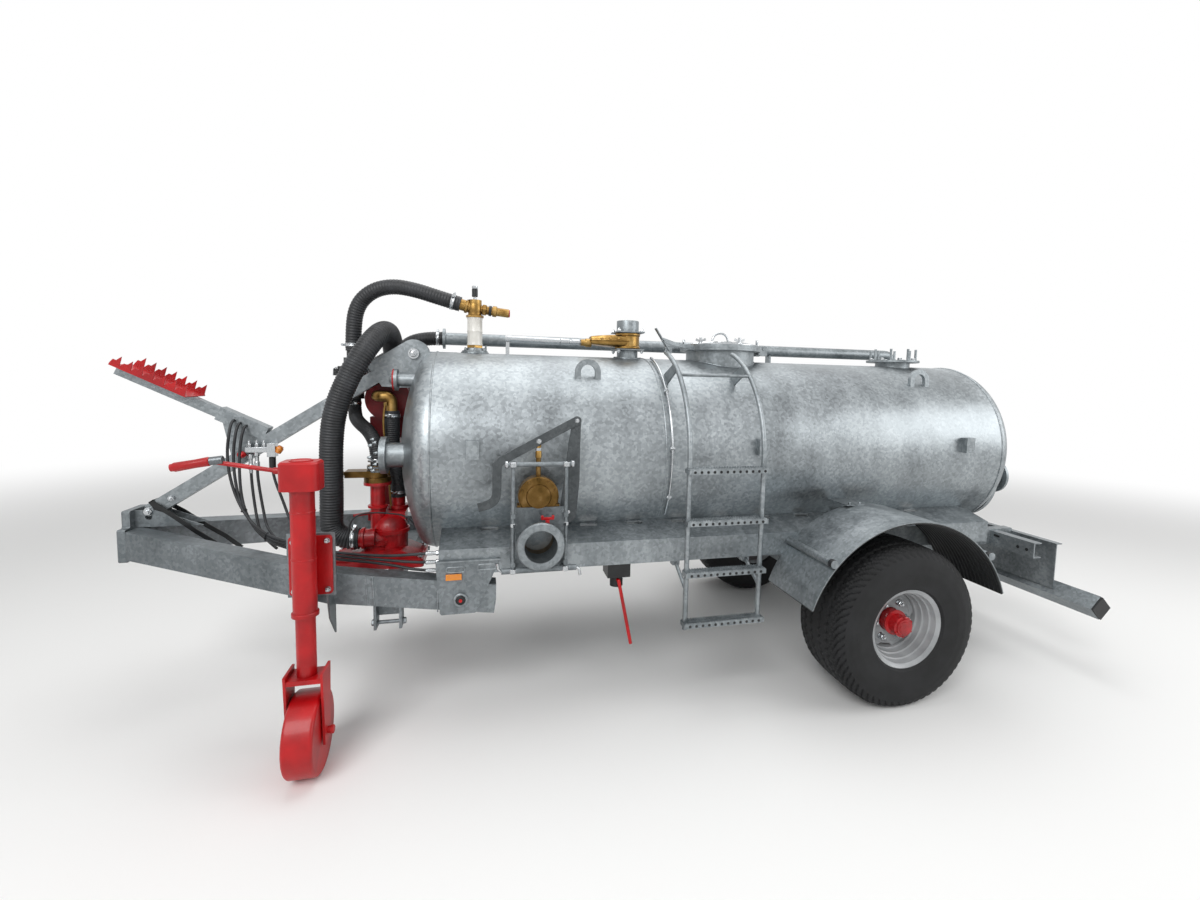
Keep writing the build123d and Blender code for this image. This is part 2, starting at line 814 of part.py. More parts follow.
# ---------------------------------------------------------------- pump, valves and hoses
def make_pump():
    """Pump casing with two domes, an upright riser and spigot, and an inlet that faces forward."""
    riser = (pump_x + 10, pump_side)
    foot_length, foot_width = pump_foot_size
    foot_top = pump_base + pump_foot
    with BuildPart() as pump:
        with BuildSketch(Plane.XY.offset(pump_base)):
            with Locations((pump_x, pump_side)):
                RectangleRounded(foot_length, foot_width, 20)
        extrude(amount=pump_foot)
        with BuildSketch(side_plane(pump_side + foot_width / 2 - 15)):
            with BuildLine():
                Polyline((pump_x + foot_length / 2 - 5, foot_top), (pump_x + 125, pump_hump),
                         (pump_x - 120, pump_hump), (pump_x - foot_length / 2 + 15, foot_top), close=True)
            make_face()
        extrude(amount=foot_width - 30)
        for (x, y, radius), height in ((front_dome, front_dome_height), (rear_dome, rear_dome_height)):
            with Locations((x, y, pump_base)):
                Cylinder(radius, height - pump_base, align=(Align.CENTER, Align.CENTER, Align.MIN))
            with Locations((x, y, height)):
                Sphere(radius)
        with Locations((*riser, pump_base)):
            Cylinder(riser_radius, riser_top - pump_base, align=(Align.CENTER, Align.CENTER, Align.MIN))
        with Locations((*riser, riser_top - 8)):
            Cylinder(riser_radius + 32, 16)
        with Locations((delivery_x, delivery_side, pump_base)):
            Cylinder(delivery_radius + 6, delivery_top - 60 - pump_base,
                     align=(Align.CENTER, Align.CENTER, Align.MIN))
            Cylinder(delivery_radius - 4, delivery_top - pump_base,
                     align=(Align.CENTER, Align.CENTER, Align.MIN))
        with Locations(((riser[0] + delivery_x) / 2, (riser[1] + delivery_side) / 2, 925)):
            Box(190, 110, 40)
        tube_between((front_dome[0], inlet_side, inlet_height), (inlet_x, inlet_side, inlet_height),
                     inlet_radius)
        tube_between((riser[0], riser[1] + 20, 955), (riser[0] + 115, riser[1] + 48, 945), 8)
        cut_head(5)
    return pump.part


def make_riser_valve():
    with BuildPart() as valve:
        with Locations((pump_x + 10, pump_side, riser_top)):
            Cylinder(riser_radius + 30, 26, align=(Align.CENTER, Align.CENTER, Align.MIN))
            Cylinder(riser_radius + 12, valve_height, align=(Align.CENTER, Align.CENTER, Align.MIN))
        with Locations((pump_x + 90, pump_side, riser_top + valve_height / 2)):
            Box(150, 90, 34)
        with Locations((pump_x + 210, pump_side, riser_top + valve_height / 2)):
            Cylinder(10, 90, rotation=(0, 90, 0))
    return valve.part


def make_compressor():
    """Finned vane compressor beside the stay, on a pedestal from the cross members."""
    fins = int(compressor_length / fin_pitch)
    with BuildPart() as body:
        with Locations((compressor_x, compressor_side, compressor_height)):
            Cylinder(compressor_radius - 16, compressor_length, rotation=(90, 0, 0))
            with GridLocations(1, fin_pitch, 1, fins):
                Cylinder(compressor_radius, fin_depth, rotation=(90, 0, 0))
        for end in (-1, 1):
            with Locations((compressor_x, compressor_side + end * (compressor_length / 2 - fin_depth),
                            compressor_height)):
                Cylinder(compressor_radius, 2 * fin_depth, rotation=(90, 0, 0))
        with Locations((compressor_port_x, compressor_side, compressor_port_top)):
            Cylinder(air_radius + 4, compressor_port_top - compressor_height,
                     align=(Align.CENTER, Align.CENTER, Align.MAX))
        with Locations((compressor_x, compressor_side, compressor_height - compressor_radius - 40)):
            Box(200, compressor_length - 40, 120)
        with Locations((compressor_x, compressor_side, pump_base)):
            Box(90, 90, compressor_height - compressor_radius - 40 - pump_base,
                align=(Align.CENTER, Align.CENTER, Align.MIN))
        cut_head(5)
    return body.part


def make_delivery_elbow():
    """Brass pipe that turns forward and then in to the compressor's end plate."""
    x, y, z = elbow_start
    end = compressor_side + compressor_length / 2
    return hose([elbow_start, (x, y, elbow_height), (elbow_x, y, elbow_height),
                 (elbow_x, end, elbow_height)],
                elbow_radius)


def make_pump_hoses():
    """Two ribbed hoses: pump spigot to brass elbow, and riser valve to the moisture trap's bottom."""
    return hose(delivery_route, delivery_radius) + hose(trap_route, trap_hose_radius)


def make_hydraulic_hoses():
    """Three thin hoses from under the hose arm, along the beam, to the front end of the sill."""
    hoses = Part()
    for route in cable_routes:
        hoses += hose(route, cable_radius)
    return hoses


def make_trap():
    """Moisture trap: an upright round housing between two hoses."""
    with BuildPart() as trap:
        with Locations((trap_x, trap_side, trap_bottom)):
            Cylinder(trap_radius, trap_height, align=(Align.CENTER, Align.CENTER, Align.MIN))
        with Locations((trap_x, trap_side, trap_bottom + trap_height)):
            Cylinder(air_radius - 6, trap_neck, align=(Align.CENTER, Align.CENTER, Align.MIN))
        tube_between((trap_x, trap_side, trap_outlet), (trap_x, trap_outlet_side, trap_outlet),
                     air_radius - 6)
        with Locations((trap_x, -strut_size / 2, point_on_stay(trap_x))):
            Box(50, 30, 50, align=(Align.CENTER, Align.MAX, Align.CENTER))
    return trap.part


# ---------------------------------------------------------------- tank top
def make_manhole_neck():
    base = tank_axis + 0.8 * tank_radius
    with BuildPart() as neck:
        with Locations((manhole_x, 0, base)):
            Cylinder(manhole_radius, manhole_height - base, align=(Align.CENTER, Align.CENTER, Align.MIN))
        with Locations((manhole_x, 0, manhole_height)):
            Cylinder(manhole_radius + manhole_rim, 12, align=(Align.CENTER, Align.CENTER, Align.MAX))
        with Locations((manhole_x, 0, base)):
            Cylinder(manhole_radius - 6, manhole_height - base,
                     align=(Align.CENTER, Align.CENTER, Align.MIN),
                     mode=Mode.SUBTRACT)
        for y in (manhole_hinge_side + 3, -manhole_hinge_side - 15):
            with Locations((hinge_x, y, manhole_height)):
                Box(50, 12, 60, align=(Align.CENTER, Align.MIN, Align.CENTER))
        with Locations((hinge_x + 10, 0, manhole_height - 24)):
            Box(50, 2 * manhole_hinge_side + 30, 12, align=(Align.CENTER, Align.CENTER, Align.MIN))
        with Locations((hinge_x, 0, hinge_height)):
            Cylinder(8.05, 2 * manhole_hinge_side + 40, rotation=(90, 0, 0), mode=Mode.SUBTRACT)
        cut_tank()
    return neck.part


def make_manhole_lid():
    rim = manhole_radius + manhole_rim - 2
    with BuildPart() as lid:
        with BuildSketch(side_plane(0)):
            with BuildLine():
                Polyline((manhole_x, manhole_height + gap), (manhole_x + rim, manhole_height + gap),
                         (manhole_x + rim, manhole_height + 22), (manhole_x + 150, manhole_height + 40),
                         (manhole_x, manhole_height + 46), close=True)
            make_face()
        revolve(axis=Axis((manhole_x, 0, 0), (0, 0, 1)))
        with Locations((hinge_x, 0, hinge_height)):
            Cylinder(8, 2 * manhole_hinge_side + 40, rotation=(90, 0, 0))
            Cylinder(16, 60, rotation=(90, 0, 0))
        with Locations((hinge_x, 0, manhole_height + gap)):
            Box(90, 50, 26, align=(Align.MIN, Align.CENTER, Align.MIN))
    return lid.part


def make_sight_glass():
    base = tank_surface(0)
    with BuildPart() as glass:
        with Locations((sight_x, 0, base - 4)):
            Cylinder(72, 34, align=(Align.CENTER, Align.CENTER, Align.MIN))
        with Locations((sight_x, 0, base + 30)):
            Cylinder(sight_radius, sight_top - base - 30, align=(Align.CENTER, Align.CENTER, Align.MIN))
        cut_tank()
    return glass.part


def make_relief_tee():
    with BuildPart() as tee:
        with Locations((sight_x, 0, sight_top)):
            Cylinder(sight_radius - 6, 100, align=(Align.CENTER, Align.CENTER, Align.MIN))
        tube_between((sight_x + tee_outlet, 0, sight_top + 52 + tee_outlet_rise),
                     (sight_x, 0, sight_top + 52), 32)
        tube_between((sight_x, 0, sight_top + 52), (sight_x - 190, 0, sight_top + 34), 24)
    return tee.part


def top_collar():
    base = tank_surface(0)
    with BuildPart() as collar:
        with Locations((top_valve_x, 0, base + 106)):
            Cylinder(68, 100, align=(Align.CENTER, Align.CENTER, Align.MIN))
            Cylinder(80, 12, align=(Align.CENTER, Align.CENTER, Align.MIN))
        with Locations((top_valve_x, 0, base + 206)):
            Cylinder(80, 20, align=(Align.CENTER, Align.CENTER, Align.MIN))
    return collar.part


def make_top_valve():
    base = tank_surface(0)
    with BuildPart() as valve:
        with Locations((top_valve_x, 0, base - 4)):
            Cylinder(80, 60, align=(Align.CENTER, Align.CENTER, Align.MIN))
        with Locations((top_valve_x + 80, 0, base + 60)):
            Box(330, 130, 46, align=(Align.CENTER, Align.CENTER, Align.MIN))
        with Locations((top_valve_x + 260, 0, base + 83)):
            Cylinder(24, 60, rotation=(0, 90, 0))
        with Locations((top_valve_x, 0, base + 56)):
            Cylinder(60, 8, align=(Align.CENTER, Align.CENTER, Align.MIN))
        cut_tank()
        add(top_collar())
    return valve.part


def make_top_cylinder():
    base = tank_surface(0)
    with BuildPart() as cylinder:
        tube_between((top_valve_x + 291, 0, base + 83), (top_valve_x + 420, 0, base + 85), 10)
        tube_between((top_valve_x + 420, 0, base + 85), (top_valve_x + 740, 0, base + 90), 20)
        with Locations((top_valve_x + 725, 0, base - 4)):
            Box(20, 60, 75, align=(Align.CENTER, Align.CENTER, Align.MIN))
        cut_tank()
    return cylinder.part


def make_top_pipe():
    """Long air pipe beside the manhole, bent down into the tank at its rear end."""
    with BuildPart() as pipe:
        with BuildLine() as path:
            FilletPolyline((pipe_front, pipe_side, pipe_height), (pipe_rear, pipe_side, pipe_height),
                           (pipe_rear, pipe_side, pipe_height - 260), radius=70)
        with BuildSketch(Plane(origin=path.line @ 0, z_dir=path.line % 0)):
            Circle(pipe_radius)
        sweep()
        with Locations((pipe_front, pipe_side, pipe_height)):
            Cylinder(pipe_radius + 24, 14, rotation=(0, 90, 0))
        for x in (pipe_front - 250, 150):
            with Locations((x, pipe_side, pipe_height - 200)):
                Box(12, 60, 200 - pipe_radius + 5, align=(Align.CENTER, Align.CENTER, Align.MIN))
        cut_tank()
    return pipe.part


def make_stud_flange():
    base = tank_surface(0)
    with BuildPart() as flange:
        with Locations((stud_x, 0, base - 20)):
            Cylinder(110, 60, align=(Align.CENTER, Align.CENTER, Align.MIN))
        with Locations((stud_x, 0, base + 28)):
            Cylinder(stud_circle_radius + 28, 14, align=(Align.CENTER, Align.CENTER, Align.MIN))
            with PolarLocations(stud_circle_radius, top_stud_count):
                Cylinder(top_stud_radius, 90, align=(Align.CENTER, Align.CENTER, Align.MIN))
        cut_tank()
    return flange.part


def lifting_eyes():
    with BuildPart() as eyes:
        for x in (eye_front_x, eye_rear_x):
            for y in (eye_side, -eye_side - eye_thick):
                low = tank_surface(eye_side) - 30
                with BuildSketch(side_plane(y + eye_thick)):
                    with Locations((x, tank_surface(eye_side) + 20)):
                        Circle(eye_radius)
                    with Locations((x, low)):
                        Rectangle(2 * eye_radius, 50, align=(Align.CENTER, Align.MIN))
                    with Locations((x, tank_surface(eye_side) + 20)):
                        Circle(eye_radius - 30, mode=Mode.SUBTRACT)
                    with Locations((x, low)):
                        Rectangle(2 * eye_radius - 60, 50, align=(Align.CENTER, Align.MIN),
                                  mode=Mode.SUBTRACT)
                extrude(amount=eye_thick)
        cut_tank()
    return eyes.part


def make_tank_fittings():
    """Lifting eyes on the tank's shoulders and small brackets on its left flank."""
    with BuildPart() as brackets:
        add(lifting_eyes())
        for x in (2192, 640, -760):
            with Locations((x, tank_radius + 6, bracket_height)):
                Box(60, 60, 90)
        cut_tank()
    return brackets.part


def make_front_stubs():
    with BuildPart() as stubs:
        with Locations((tank_front, stub_side, stub_height)):
            Cylinder(64, head_reach(stub_side) + 70, rotation=(0, 90, 0),
                     align=(Align.CENTER, Align.CENTER, Align.MIN))
        with Locations((tank_front + head_reach(stub_side) + 70, stub_side, stub_height)):
            Cylinder(96, 30, rotation=(0, 90, 0), align=(Align.CENTER, Align.CENTER, Align.MIN))
        with Locations((tank_front, upper_stub_side, upper_stub_height)):
            Cylinder(34, 190, rotation=(0, 90, 0), align=(Align.CENTER, Align.CENTER, Align.MIN))
        with Locations((tank_front + 190, upper_stub_side, upper_stub_height)):
            Cylinder(58, 16, rotation=(0, 90, 0), align=(Align.CENTER, Align.CENTER, Align.MIN))
        add(tank, mode=Mode.SUBTRACT)
    return stubs.part


# ---------------------------------------------------------------- side suction valve
def make_side_pipe():
    with BuildPart() as pipe:
        with Locations((coupling_x, valve_face, coupling_height)):
            Cylinder(coupling_bore + 9, 320, rotation=(-90, 0, 0),
                     align=(Align.CENTER, Align.CENTER, Align.MAX))
            Box(250, 10, 250, align=(Align.CENTER, Align.MAX, Align.CENTER))
        cut_tank()
        with Locations((0, 0, 0)):
            add(sill_left, mode=Mode.SUBTRACT)
    return pipe.part


def make_side_valve():
    bonnet = coupling_height + 205
    with BuildPart() as valve:
        with BuildSketch(side_plane(valve_face + valve_depth)):
            with Locations((coupling_x, coupling_height + 40)):
                Rectangle(200, 250)
            with Locations((coupling_x, bonnet)):
                Circle(96)
            with Locations((coupling_x, coupling_height)):
                Circle(coupling_bore, mode=Mode.SUBTRACT)
        extrude(amount=valve_depth)
        with Locations((coupling_x, valve_face + valve_depth / 2, bonnet + 90)):
            Cylinder(12, 136, align=(Align.CENTER, Align.CENTER, Align.MIN))
    return valve.part


def side_clamp():
    """Cross rods and side rods that hold a hose coupling on the mouth."""
    face = valve_face + valve_depth + 10
    rods = face + 50
    with BuildPart() as clamp:
        tube_between((1740, rods, 1300), (2030, rods, 1300), 11)
        for x in (1762, 2008):
            tube_between((x, rods, 800), (x, rods, 1300), 9)
            for z in (830, 1060):
                with Locations((x, face, z)):
                    Box(20, 60, 20, align=(Align.CENTER, Align.MIN, Align.CENTER))
        tube_between((1710, rods, 800), (2060, rods, 800), 14)
    return clamp.part


def make_side_coupling():
    near = valve_face + valve_depth
    with BuildPart() as coupling:
        with Locations((coupling_x, near, coupling_height)):
            Box(262, 10, 310, align=(Align.CENTER, Align.MIN, Align.CENTER))
        with Locations((coupling_x, near, coupling_height)):
            Cylinder(coupling_bore + 9, coupling_end - near, rotation=(-90, 0, 0),
                     align=(Align.CENTER, Align.CENTER, Align.MIN))
        with Locations((coupling_x, coupling_end, coupling_height)):
            Cylinder(104, 24, rotation=(-90, 0, 0), align=(Align.CENTER, Align.CENTER, Align.MAX))
        with Locations((coupling_x, coupling_end, coupling_height)):
            Cylinder(coupling_bore, coupling_end - near, rotation=(-90, 0, 0),
                     align=(Align.CENTER, Align.CENTER, Align.MAX), mode=Mode.SUBTRACT)
        add(side_clamp())
    return coupling.part


def make_side_lever():
    """Bent flat bar that pulls the slide up by its spindle."""
    middle = valve_face + valve_depth / 2
    pivot = (1772, 1036)
    with BuildPart() as lever:
        with BuildSketch(side_plane(middle + 5)):
            with BuildLine():
                Polyline(*strip([pivot, (1692, 1512), (1990, 1330), (2040, 1250), (2040, 1170),
                                 (2165, 1090)],
                                12, 12), close=True)
            make_face()
        extrude(amount=10)
        tube_between((pivot[0], valve_face, pivot[1] + 5), (pivot[0], middle, pivot[1] + 5), 8)
    return lever.part


def make_drain_valve():
    with BuildPart() as drain:
        with Locations((drain_x, sill_side - 60, sill_bottom)):
            Box(120, 120, 70, align=(Align.CENTER, Align.CENTER, Align.MAX))
            Cylinder(34, 130, align=(Align.CENTER, Align.CENTER, Align.MAX))
    return drain.part


def make_drain_lever():
    with BuildPart() as lever:
        tube_between((drain_x, sill_side - 60, sill_bottom - 90),
                     (drain_x, sill_side - 5, sill_bottom - 90), 9)
        tube_between((drain_x, sill_side - 5, sill_bottom - 90),
                     (drain_x - 70, sill_side, drain_lever_bottom), 9)
        with Locations((drain_x, sill_side - 5, sill_bottom - 90)):
            Sphere(9)
        add(make_drain_valve(), mode=Mode.SUBTRACT)
    return lever.part


# ---------------------------------------------------------------- ladder
def make_ladder():
    """Two rails that rise past the steps and bend over the tank, with open treads."""
    bend_radius = 582
    bend_height = 1300
    top = 74
    centre = ladder_side - bend_radius
    end = (centre + bend_radius * cos(radians(top)), bend_height + bend_radius * sin(radians(top)))
    with BuildPart() as ladder:
        for x in (ladder_front, ladder_rear):
            with BuildLine(Plane.YZ.offset(x)) as rail:
                Line((ladder_side, step_top - (step_count - 1) * step_pitch - 30),
                     (ladder_side, bend_height))
                CenterArc((centre, bend_height), bend_radius, 0, top)
            with BuildSketch(Plane(origin=rail.line @ 0, z_dir=rail.line % 0)):
                Circle(ladder_tube)
            sweep(path=rail.line)
            lug = tank_surface(300)
            with Locations((x, 0, 0)):
                with BuildSketch(Plane.YZ.offset(x - 5)):
                    with BuildLine():
                        Polyline((290, lug - 20), (centre + bend_radius * cos(radians(58)),
                                                   bend_height + bend_radius * sin(radians(58))),
                                 (centre + bend_radius * cos(radians(52)),
                                  bend_height + bend_radius * sin(radians(52))),
                                 (360, lug - 70), close=True)
                    make_face()
                extrude(amount=10)
            tube_between((x, sill_side - 40, sill_bottom - 10), (x, ladder_side, 640), 10)
            with Locations((x, sill_side - 40, sill_bottom)):
                Box(40, 40, 30, align=(Align.CENTER, Align.CENTER, Align.MAX))
        for i in range(step_count):
            with Locations(((ladder_front + ladder_rear) / 2, ladder_side + 12, step_top - i * step_pitch)):
                Box(ladder_front - ladder_rear + 34, 62, 24)
        tube_between((ladder_rear, centre + bend_radius * cos(radians(48)),
                      bend_height + bend_radius * sin(radians(48))),
                     (ladder_front, centre + bend_radius * cos(radians(48)),
                      bend_height + bend_radius * sin(radians(48))),
                     8)
        cut_tank()
    return ladder.part


# ---------------------------------------------------------------- rear end
def make_rear_frame():
    """Two longitudinal tubes, a folded cross panel and an open lamp channel."""
    with BuildPart() as frame:
        for y in (rear_tube_side, -rear_tube_side):
            with Locations((panel_x, y, sill_bottom + sheet - 100)):
                Box(sill_rear - panel_x + 68, 60, 100, align=(Align.MIN, Align.CENTER, Align.MIN))
        with Locations((panel_x, 0, panel_bottom)):
            Box(6, 2 * panel_half, panel_top - panel_bottom, align=(Align.MAX, Align.CENTER, Align.MIN))
        with Locations((panel_x, 0, panel_top)):
            Box(46, 2 * panel_half, 6, align=(Align.MAX, Align.CENTER, Align.MIN))
    return frame.part


def make_lamp_bar():
    with BuildPart() as bar:
        with BuildSketch(Plane.XZ.offset(-panel_half)):
            with Locations((lamp_x, sill_bottom - 50)):
                Rectangle(60, 96)
            with Locations((lamp_x - 5, sill_bottom - 50)):
                Rectangle(54, 84, mode=Mode.SUBTRACT)
        extrude(amount=2 * panel_half)
        for y in (rear_tube_side, -rear_tube_side):
            with Locations((lamp_x, y, sill_bottom - 46)):
                Box(80, 60 + 2 * gap, 100 + 2 * gap, mode=Mode.SUBTRACT)
    return bar.part


def make_underrun_bar():
    with BuildPart() as bar:
        with Locations((bar_x, 0, bar_height)):
            Box(bar_size, 2 * bar_half, bar_size, rotation=(0, 45, 0))
        for y in (rear_tube_side + 60, -rear_tube_side - 60):
            with Locations((panel_x - 6, y, bar_height)):
                Box(8, 60, 240, align=(Align.MAX, Align.CENTER, Align.MIN))
    return bar.part


def make_bar_caps():
    with BuildPart() as caps:
        for y in (bar_half + 6, -bar_half - 6):
            with Locations((bar_x, y, bar_height)):
                Box(bar_size - 4, 12, bar_size - 4, rotation=(0, 45, 0))
    return caps.part


def make_rear_collar():
    """Collar of the rear opening, welded on the rear head, with the door's hinge ears."""
    with BuildPart() as collar:
        with Locations((door_x, 0, door_height)):
            Cylinder(door_radius - 22, 190, rotation=(0, 90, 0),
                     align=(Align.CENTER, Align.CENTER, Align.MIN))
            Cylinder(door_radius, 14, rotation=(0, 90, 0), align=(Align.CENTER, Align.CENTER, Align.MIN))
        for z in (door_height - 60, door_height + 40):
            with Locations((door_x + 14, door_hinge_side - 20, z)):
                Box(40, 18, 20, align=(Align.MAX, Align.MIN, Align.MIN))
            with Locations((door_x + 14, door_hinge_side - 20, z)):
                Box(14, 60, 20, align=(Align.MAX, Align.MIN, Align.MIN))
            with Locations((door_x - 10, door_hinge_side, z)):
                Cylinder(15, 20, align=(Align.CENTER, Align.CENTER, Align.MIN))
                Cylinder(8 + fit, 20, align=(Align.CENTER, Align.CENTER, Align.MIN), mode=Mode.SUBTRACT)
        add(tank, mode=Mode.SUBTRACT)
    return collar.part


def make_rear_door():
    """Door of the rear opening with the outlet's stub and flange."""
    with BuildPart() as door:
        with Locations((door_x - gap, 0, door_height)):
            Cylinder(door_radius, door_thick, rotation=(0, 90, 0),
                     align=(Align.CENTER, Align.CENTER, Align.MAX))
        with Locations((door_x - gap, door_hinge_side, door_height)):
            Box(door_thick, 60, 66, align=(Align.MAX, Align.MIN, Align.CENTER))
        with Locations((door_x - 10, door_hinge_side, door_height)):
            Cylinder(9, 66)
            Cylinder(8, 130)
        with Locations((door_x - gap - door_thick, port_side, port_height)):
            Cylinder(85, 130, rotation=(0, 90, 0), align=(Align.CENTER, Align.CENTER, Align.MAX))
        with Locations((door_x - gap - door_thick - 130, port_side, port_height)):
            Cylinder(120, 18, rotation=(0, 90, 0), align=(Align.CENTER, Align.CENTER, Align.MIN))
    return door.part


# ---------------------------------------------------------------- hoses
def make_suction_hose():
    """Thick ribbed hose from the pump's inlet up over the stay's ear."""
    return hose(suction_route, suction_radius)


def make_arch_hose():
    return hose(arch_route, air_radius)


def make_air_hose():
    return hose(air_route, air_radius)


tank_pieces = {"tank": tank, "saddles": make_saddles()}
sill_left = make_sill()
beam_left = make_beam()
for name, piece in tank_pieces.items():
    finish(piece, name)
for name, piece in {"sill": sill_left, "gusset": make_gusset(), "drawbar_beam": beam_left,
                    "tyre": make_tyre(),
                    "rim": make_rim(), "hub": make_hub(), "mudguard": make_mudguard()}.items():
    finish(piece, f"{name}_left")
    finish(flip(piece), f"{name}_right")
makers = [make_cross_members, make_hitch_flange, make_stay,
          make_axle, make_jack_tube, make_jack_leg, make_jack_wheel, make_pump, make_riser_valve,
          make_compressor, make_manhole_neck, make_manhole_lid, make_sight_glass, make_relief_tee,
          make_top_valve, make_top_cylinder, make_top_pipe, make_stud_flange,
          make_tank_fittings, make_front_stubs, make_side_pipe, make_side_valve,
          make_side_coupling, make_side_lever, make_drain_valve, make_ladder, make_rear_frame,
          make_lamp_bar, make_underrun_bar, make_bar_caps, make_rear_collar, make_rear_door,
          make_drain_lever, make_delivery_elbow, make_pump_hoses,
          make_hydraulic_hoses, make_suction_hose, make_arch_hose, make_air_hose]
for maker in makers:
    finish(maker(), maker.__name__.removeprefix("make_"))
for name, piece in {"stay_ears": make_ears(), "hose_arm": make_arm(), "hose_comb": make_comb(),
                    "jack_console": make_console(),
                    "moisture_trap": make_trap()}.items():
    finish(piece, name)
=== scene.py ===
# Vacuum tanker trailer: its looks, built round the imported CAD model. Metres, X forward, Z up.
import math

import bpy
import numpy as np
from mathutils import Matrix, Vector


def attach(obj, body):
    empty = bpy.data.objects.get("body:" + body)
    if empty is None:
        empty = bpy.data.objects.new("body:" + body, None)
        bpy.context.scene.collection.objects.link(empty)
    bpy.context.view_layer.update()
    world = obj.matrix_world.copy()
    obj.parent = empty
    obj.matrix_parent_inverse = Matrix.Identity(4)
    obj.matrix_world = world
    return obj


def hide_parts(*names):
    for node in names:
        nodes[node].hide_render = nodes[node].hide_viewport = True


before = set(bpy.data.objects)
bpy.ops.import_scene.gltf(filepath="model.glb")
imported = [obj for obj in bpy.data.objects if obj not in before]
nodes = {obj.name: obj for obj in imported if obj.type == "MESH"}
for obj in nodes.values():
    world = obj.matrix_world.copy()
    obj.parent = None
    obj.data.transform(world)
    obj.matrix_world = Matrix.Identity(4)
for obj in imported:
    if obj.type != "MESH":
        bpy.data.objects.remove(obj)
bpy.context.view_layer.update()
print("frame loaded,", len(nodes), "nodes")

tau = 2 * math.pi
forward, leftward, upward = (1, 0, 0), (0, 1, 0), (0, 0, 1)
axleX = -1.228  # the pieces below are measured from the ground under the axle, which lies here


# ---- camera

cameraSettings = {
    "place": (2.1331, 3.2549, 1.6950),
    "yaw": 0.2481,
    "pitch": 0.0843,
    "roll": 0.0223,
    "lens": 16.19,
    "shift": (-0.0178, -0.0198),
}


def makeCamera(s):
    sinYaw, cosYaw = math.sin(s["yaw"]), math.cos(s["yaw"])
    sinPitch, cosPitch = math.sin(s["pitch"]), math.cos(s["pitch"])
    ahead = Vector((-sinYaw * cosPitch, -cosYaw * cosPitch, -sinPitch))
    level = Vector((-cosYaw, sinYaw, 0))
    rise = level.cross(ahead)
    right = math.cos(s["roll"]) * level + math.sin(s["roll"]) * rise
    up = right.cross(ahead)
    data = bpy.data.cameras.new("camera")
    data.lens = s["lens"]
    data.shift_x, data.shift_y = s["shift"]
    camera = bpy.data.objects.new("camera", data)
    turn = Matrix((right, up, -ahead)).transposed().to_4x4()
    camera.matrix_world = Matrix.Translation(Vector(s["place"]) + Vector((axleX, 0, 0))) @ turn
    bpy.context.scene.collection.objects.link(camera)
    bpy.context.scene.camera = camera


makeCamera(cameraSettings)
print("camera placed")


# ---- mesh helpers


def meshObject(name, points, faces, material=None, smooth=True):
    points = np.asarray(points, float).reshape(-1, 3) + (axleX, 0, 0)
    data = bpy.data.meshes.new(name)
    data.from_pydata(points.tolist(), [], [list(map(int, f)) for f in faces])
    data.update()
    data.polygons.foreach_set("use_smooth", [smooth] * len(data.polygons))
    piece = bpy.data.objects.new(name, data)
    bpy.context.scene.collection.objects.link(piece)
    if material:
        data.materials.append(material)
    return piece


def gridFaces(rows, columns, loopRows=False, loopColumns=False):
    # quads between neighbours of a grid, with either way closed on itself
    r = np.arange(rows if loopRows else rows - 1)
    c = np.arange(columns if loopColumns else columns - 1)
    r, c = np.meshgrid(r, c, indexing="ij")
    r, c = r.ravel(), c.ravel()
    nextR, nextC = (r + 1) % rows, (c + 1) % columns
    return np.stack([r * columns + c, r * columns + nextC, nextR * columns + nextC, nextR * columns + c], 1)


def tubeFaces(rows, sides):
    # walls between rings of points that follow each other, and a cap on both ends
    last = (rows - 1) * sides
    walls = gridFaces(rows, sides, loopColumns=True).tolist()
    return walls + [list(range(sides))[::-1], [last + i for i in range(sides)]]


def insideOut(faces):
    return [list(face)[::-1] for face in faces]


def flipped(part):
    # the same part on the right-hand side
    points, faces = part
    return np.asarray(points, float) * (1, -1, 1), insideOut(faces)


def asMade(part):
    return part


bothSides = (("left", asMade), ("right", flipped))


def joinParts(parts):
    # several (points, faces) put into one list of points and faces
    points, faces, count = [], [], 0
    for somePoints, someFaces in parts:
        somePoints = np.asarray(somePoints, float).reshape(-1, 3)
        faces += [[int(i) + count for i in face] for face in someFaces]
        points.append(somePoints)
        count += len(somePoints)
    return np.concatenate(points), faces


def axisFrame(direction):
    # a direction made one long, and two unit vectors square to it
    direction = np.asarray(direction, float) / np.linalg.norm(direction)
    helper = np.array((0.0, 0.0, 1.0)) if abs(direction[2]) < 0.9 else np.array((1.0, 0.0, 0.0))
    first = np.cross(helper, direction)
    first /= np.linalg.norm(first)
    return direction, first, np.cross(direction, first)


def spun(profile, centre, direction, sides):
    # points of a profile of (distance along the axis, radius) carried round that axis
    direction, first, second = axisFrame(direction)
    along, radius = np.asarray(profile, float).T
    angle = np.linspace(0, tau, sides, endpoint=False)
    ring = np.cos(angle)[:, None] * first + np.sin(angle)[:, None] * second
    points = np.asarray(centre, float) + along[:, None, None] * direction + radius[:, None, None] * ring[None]
    return points.reshape(-1, 3)


def turned(profile, centre, direction, sides=48):
    # turned piece with a flat cap on both ends of its profile
    return spun(profile, centre, direction, sides), tubeFaces(len(profile), sides)


def closedTurn(profile, centre, direction, sides=96):
    # turned ring whose profile closes on itself
    faces = gridFaces(len(profile), sides, loopRows=True, loopColumns=True).tolist()
    return spun(profile, centre, direction, sides), faces


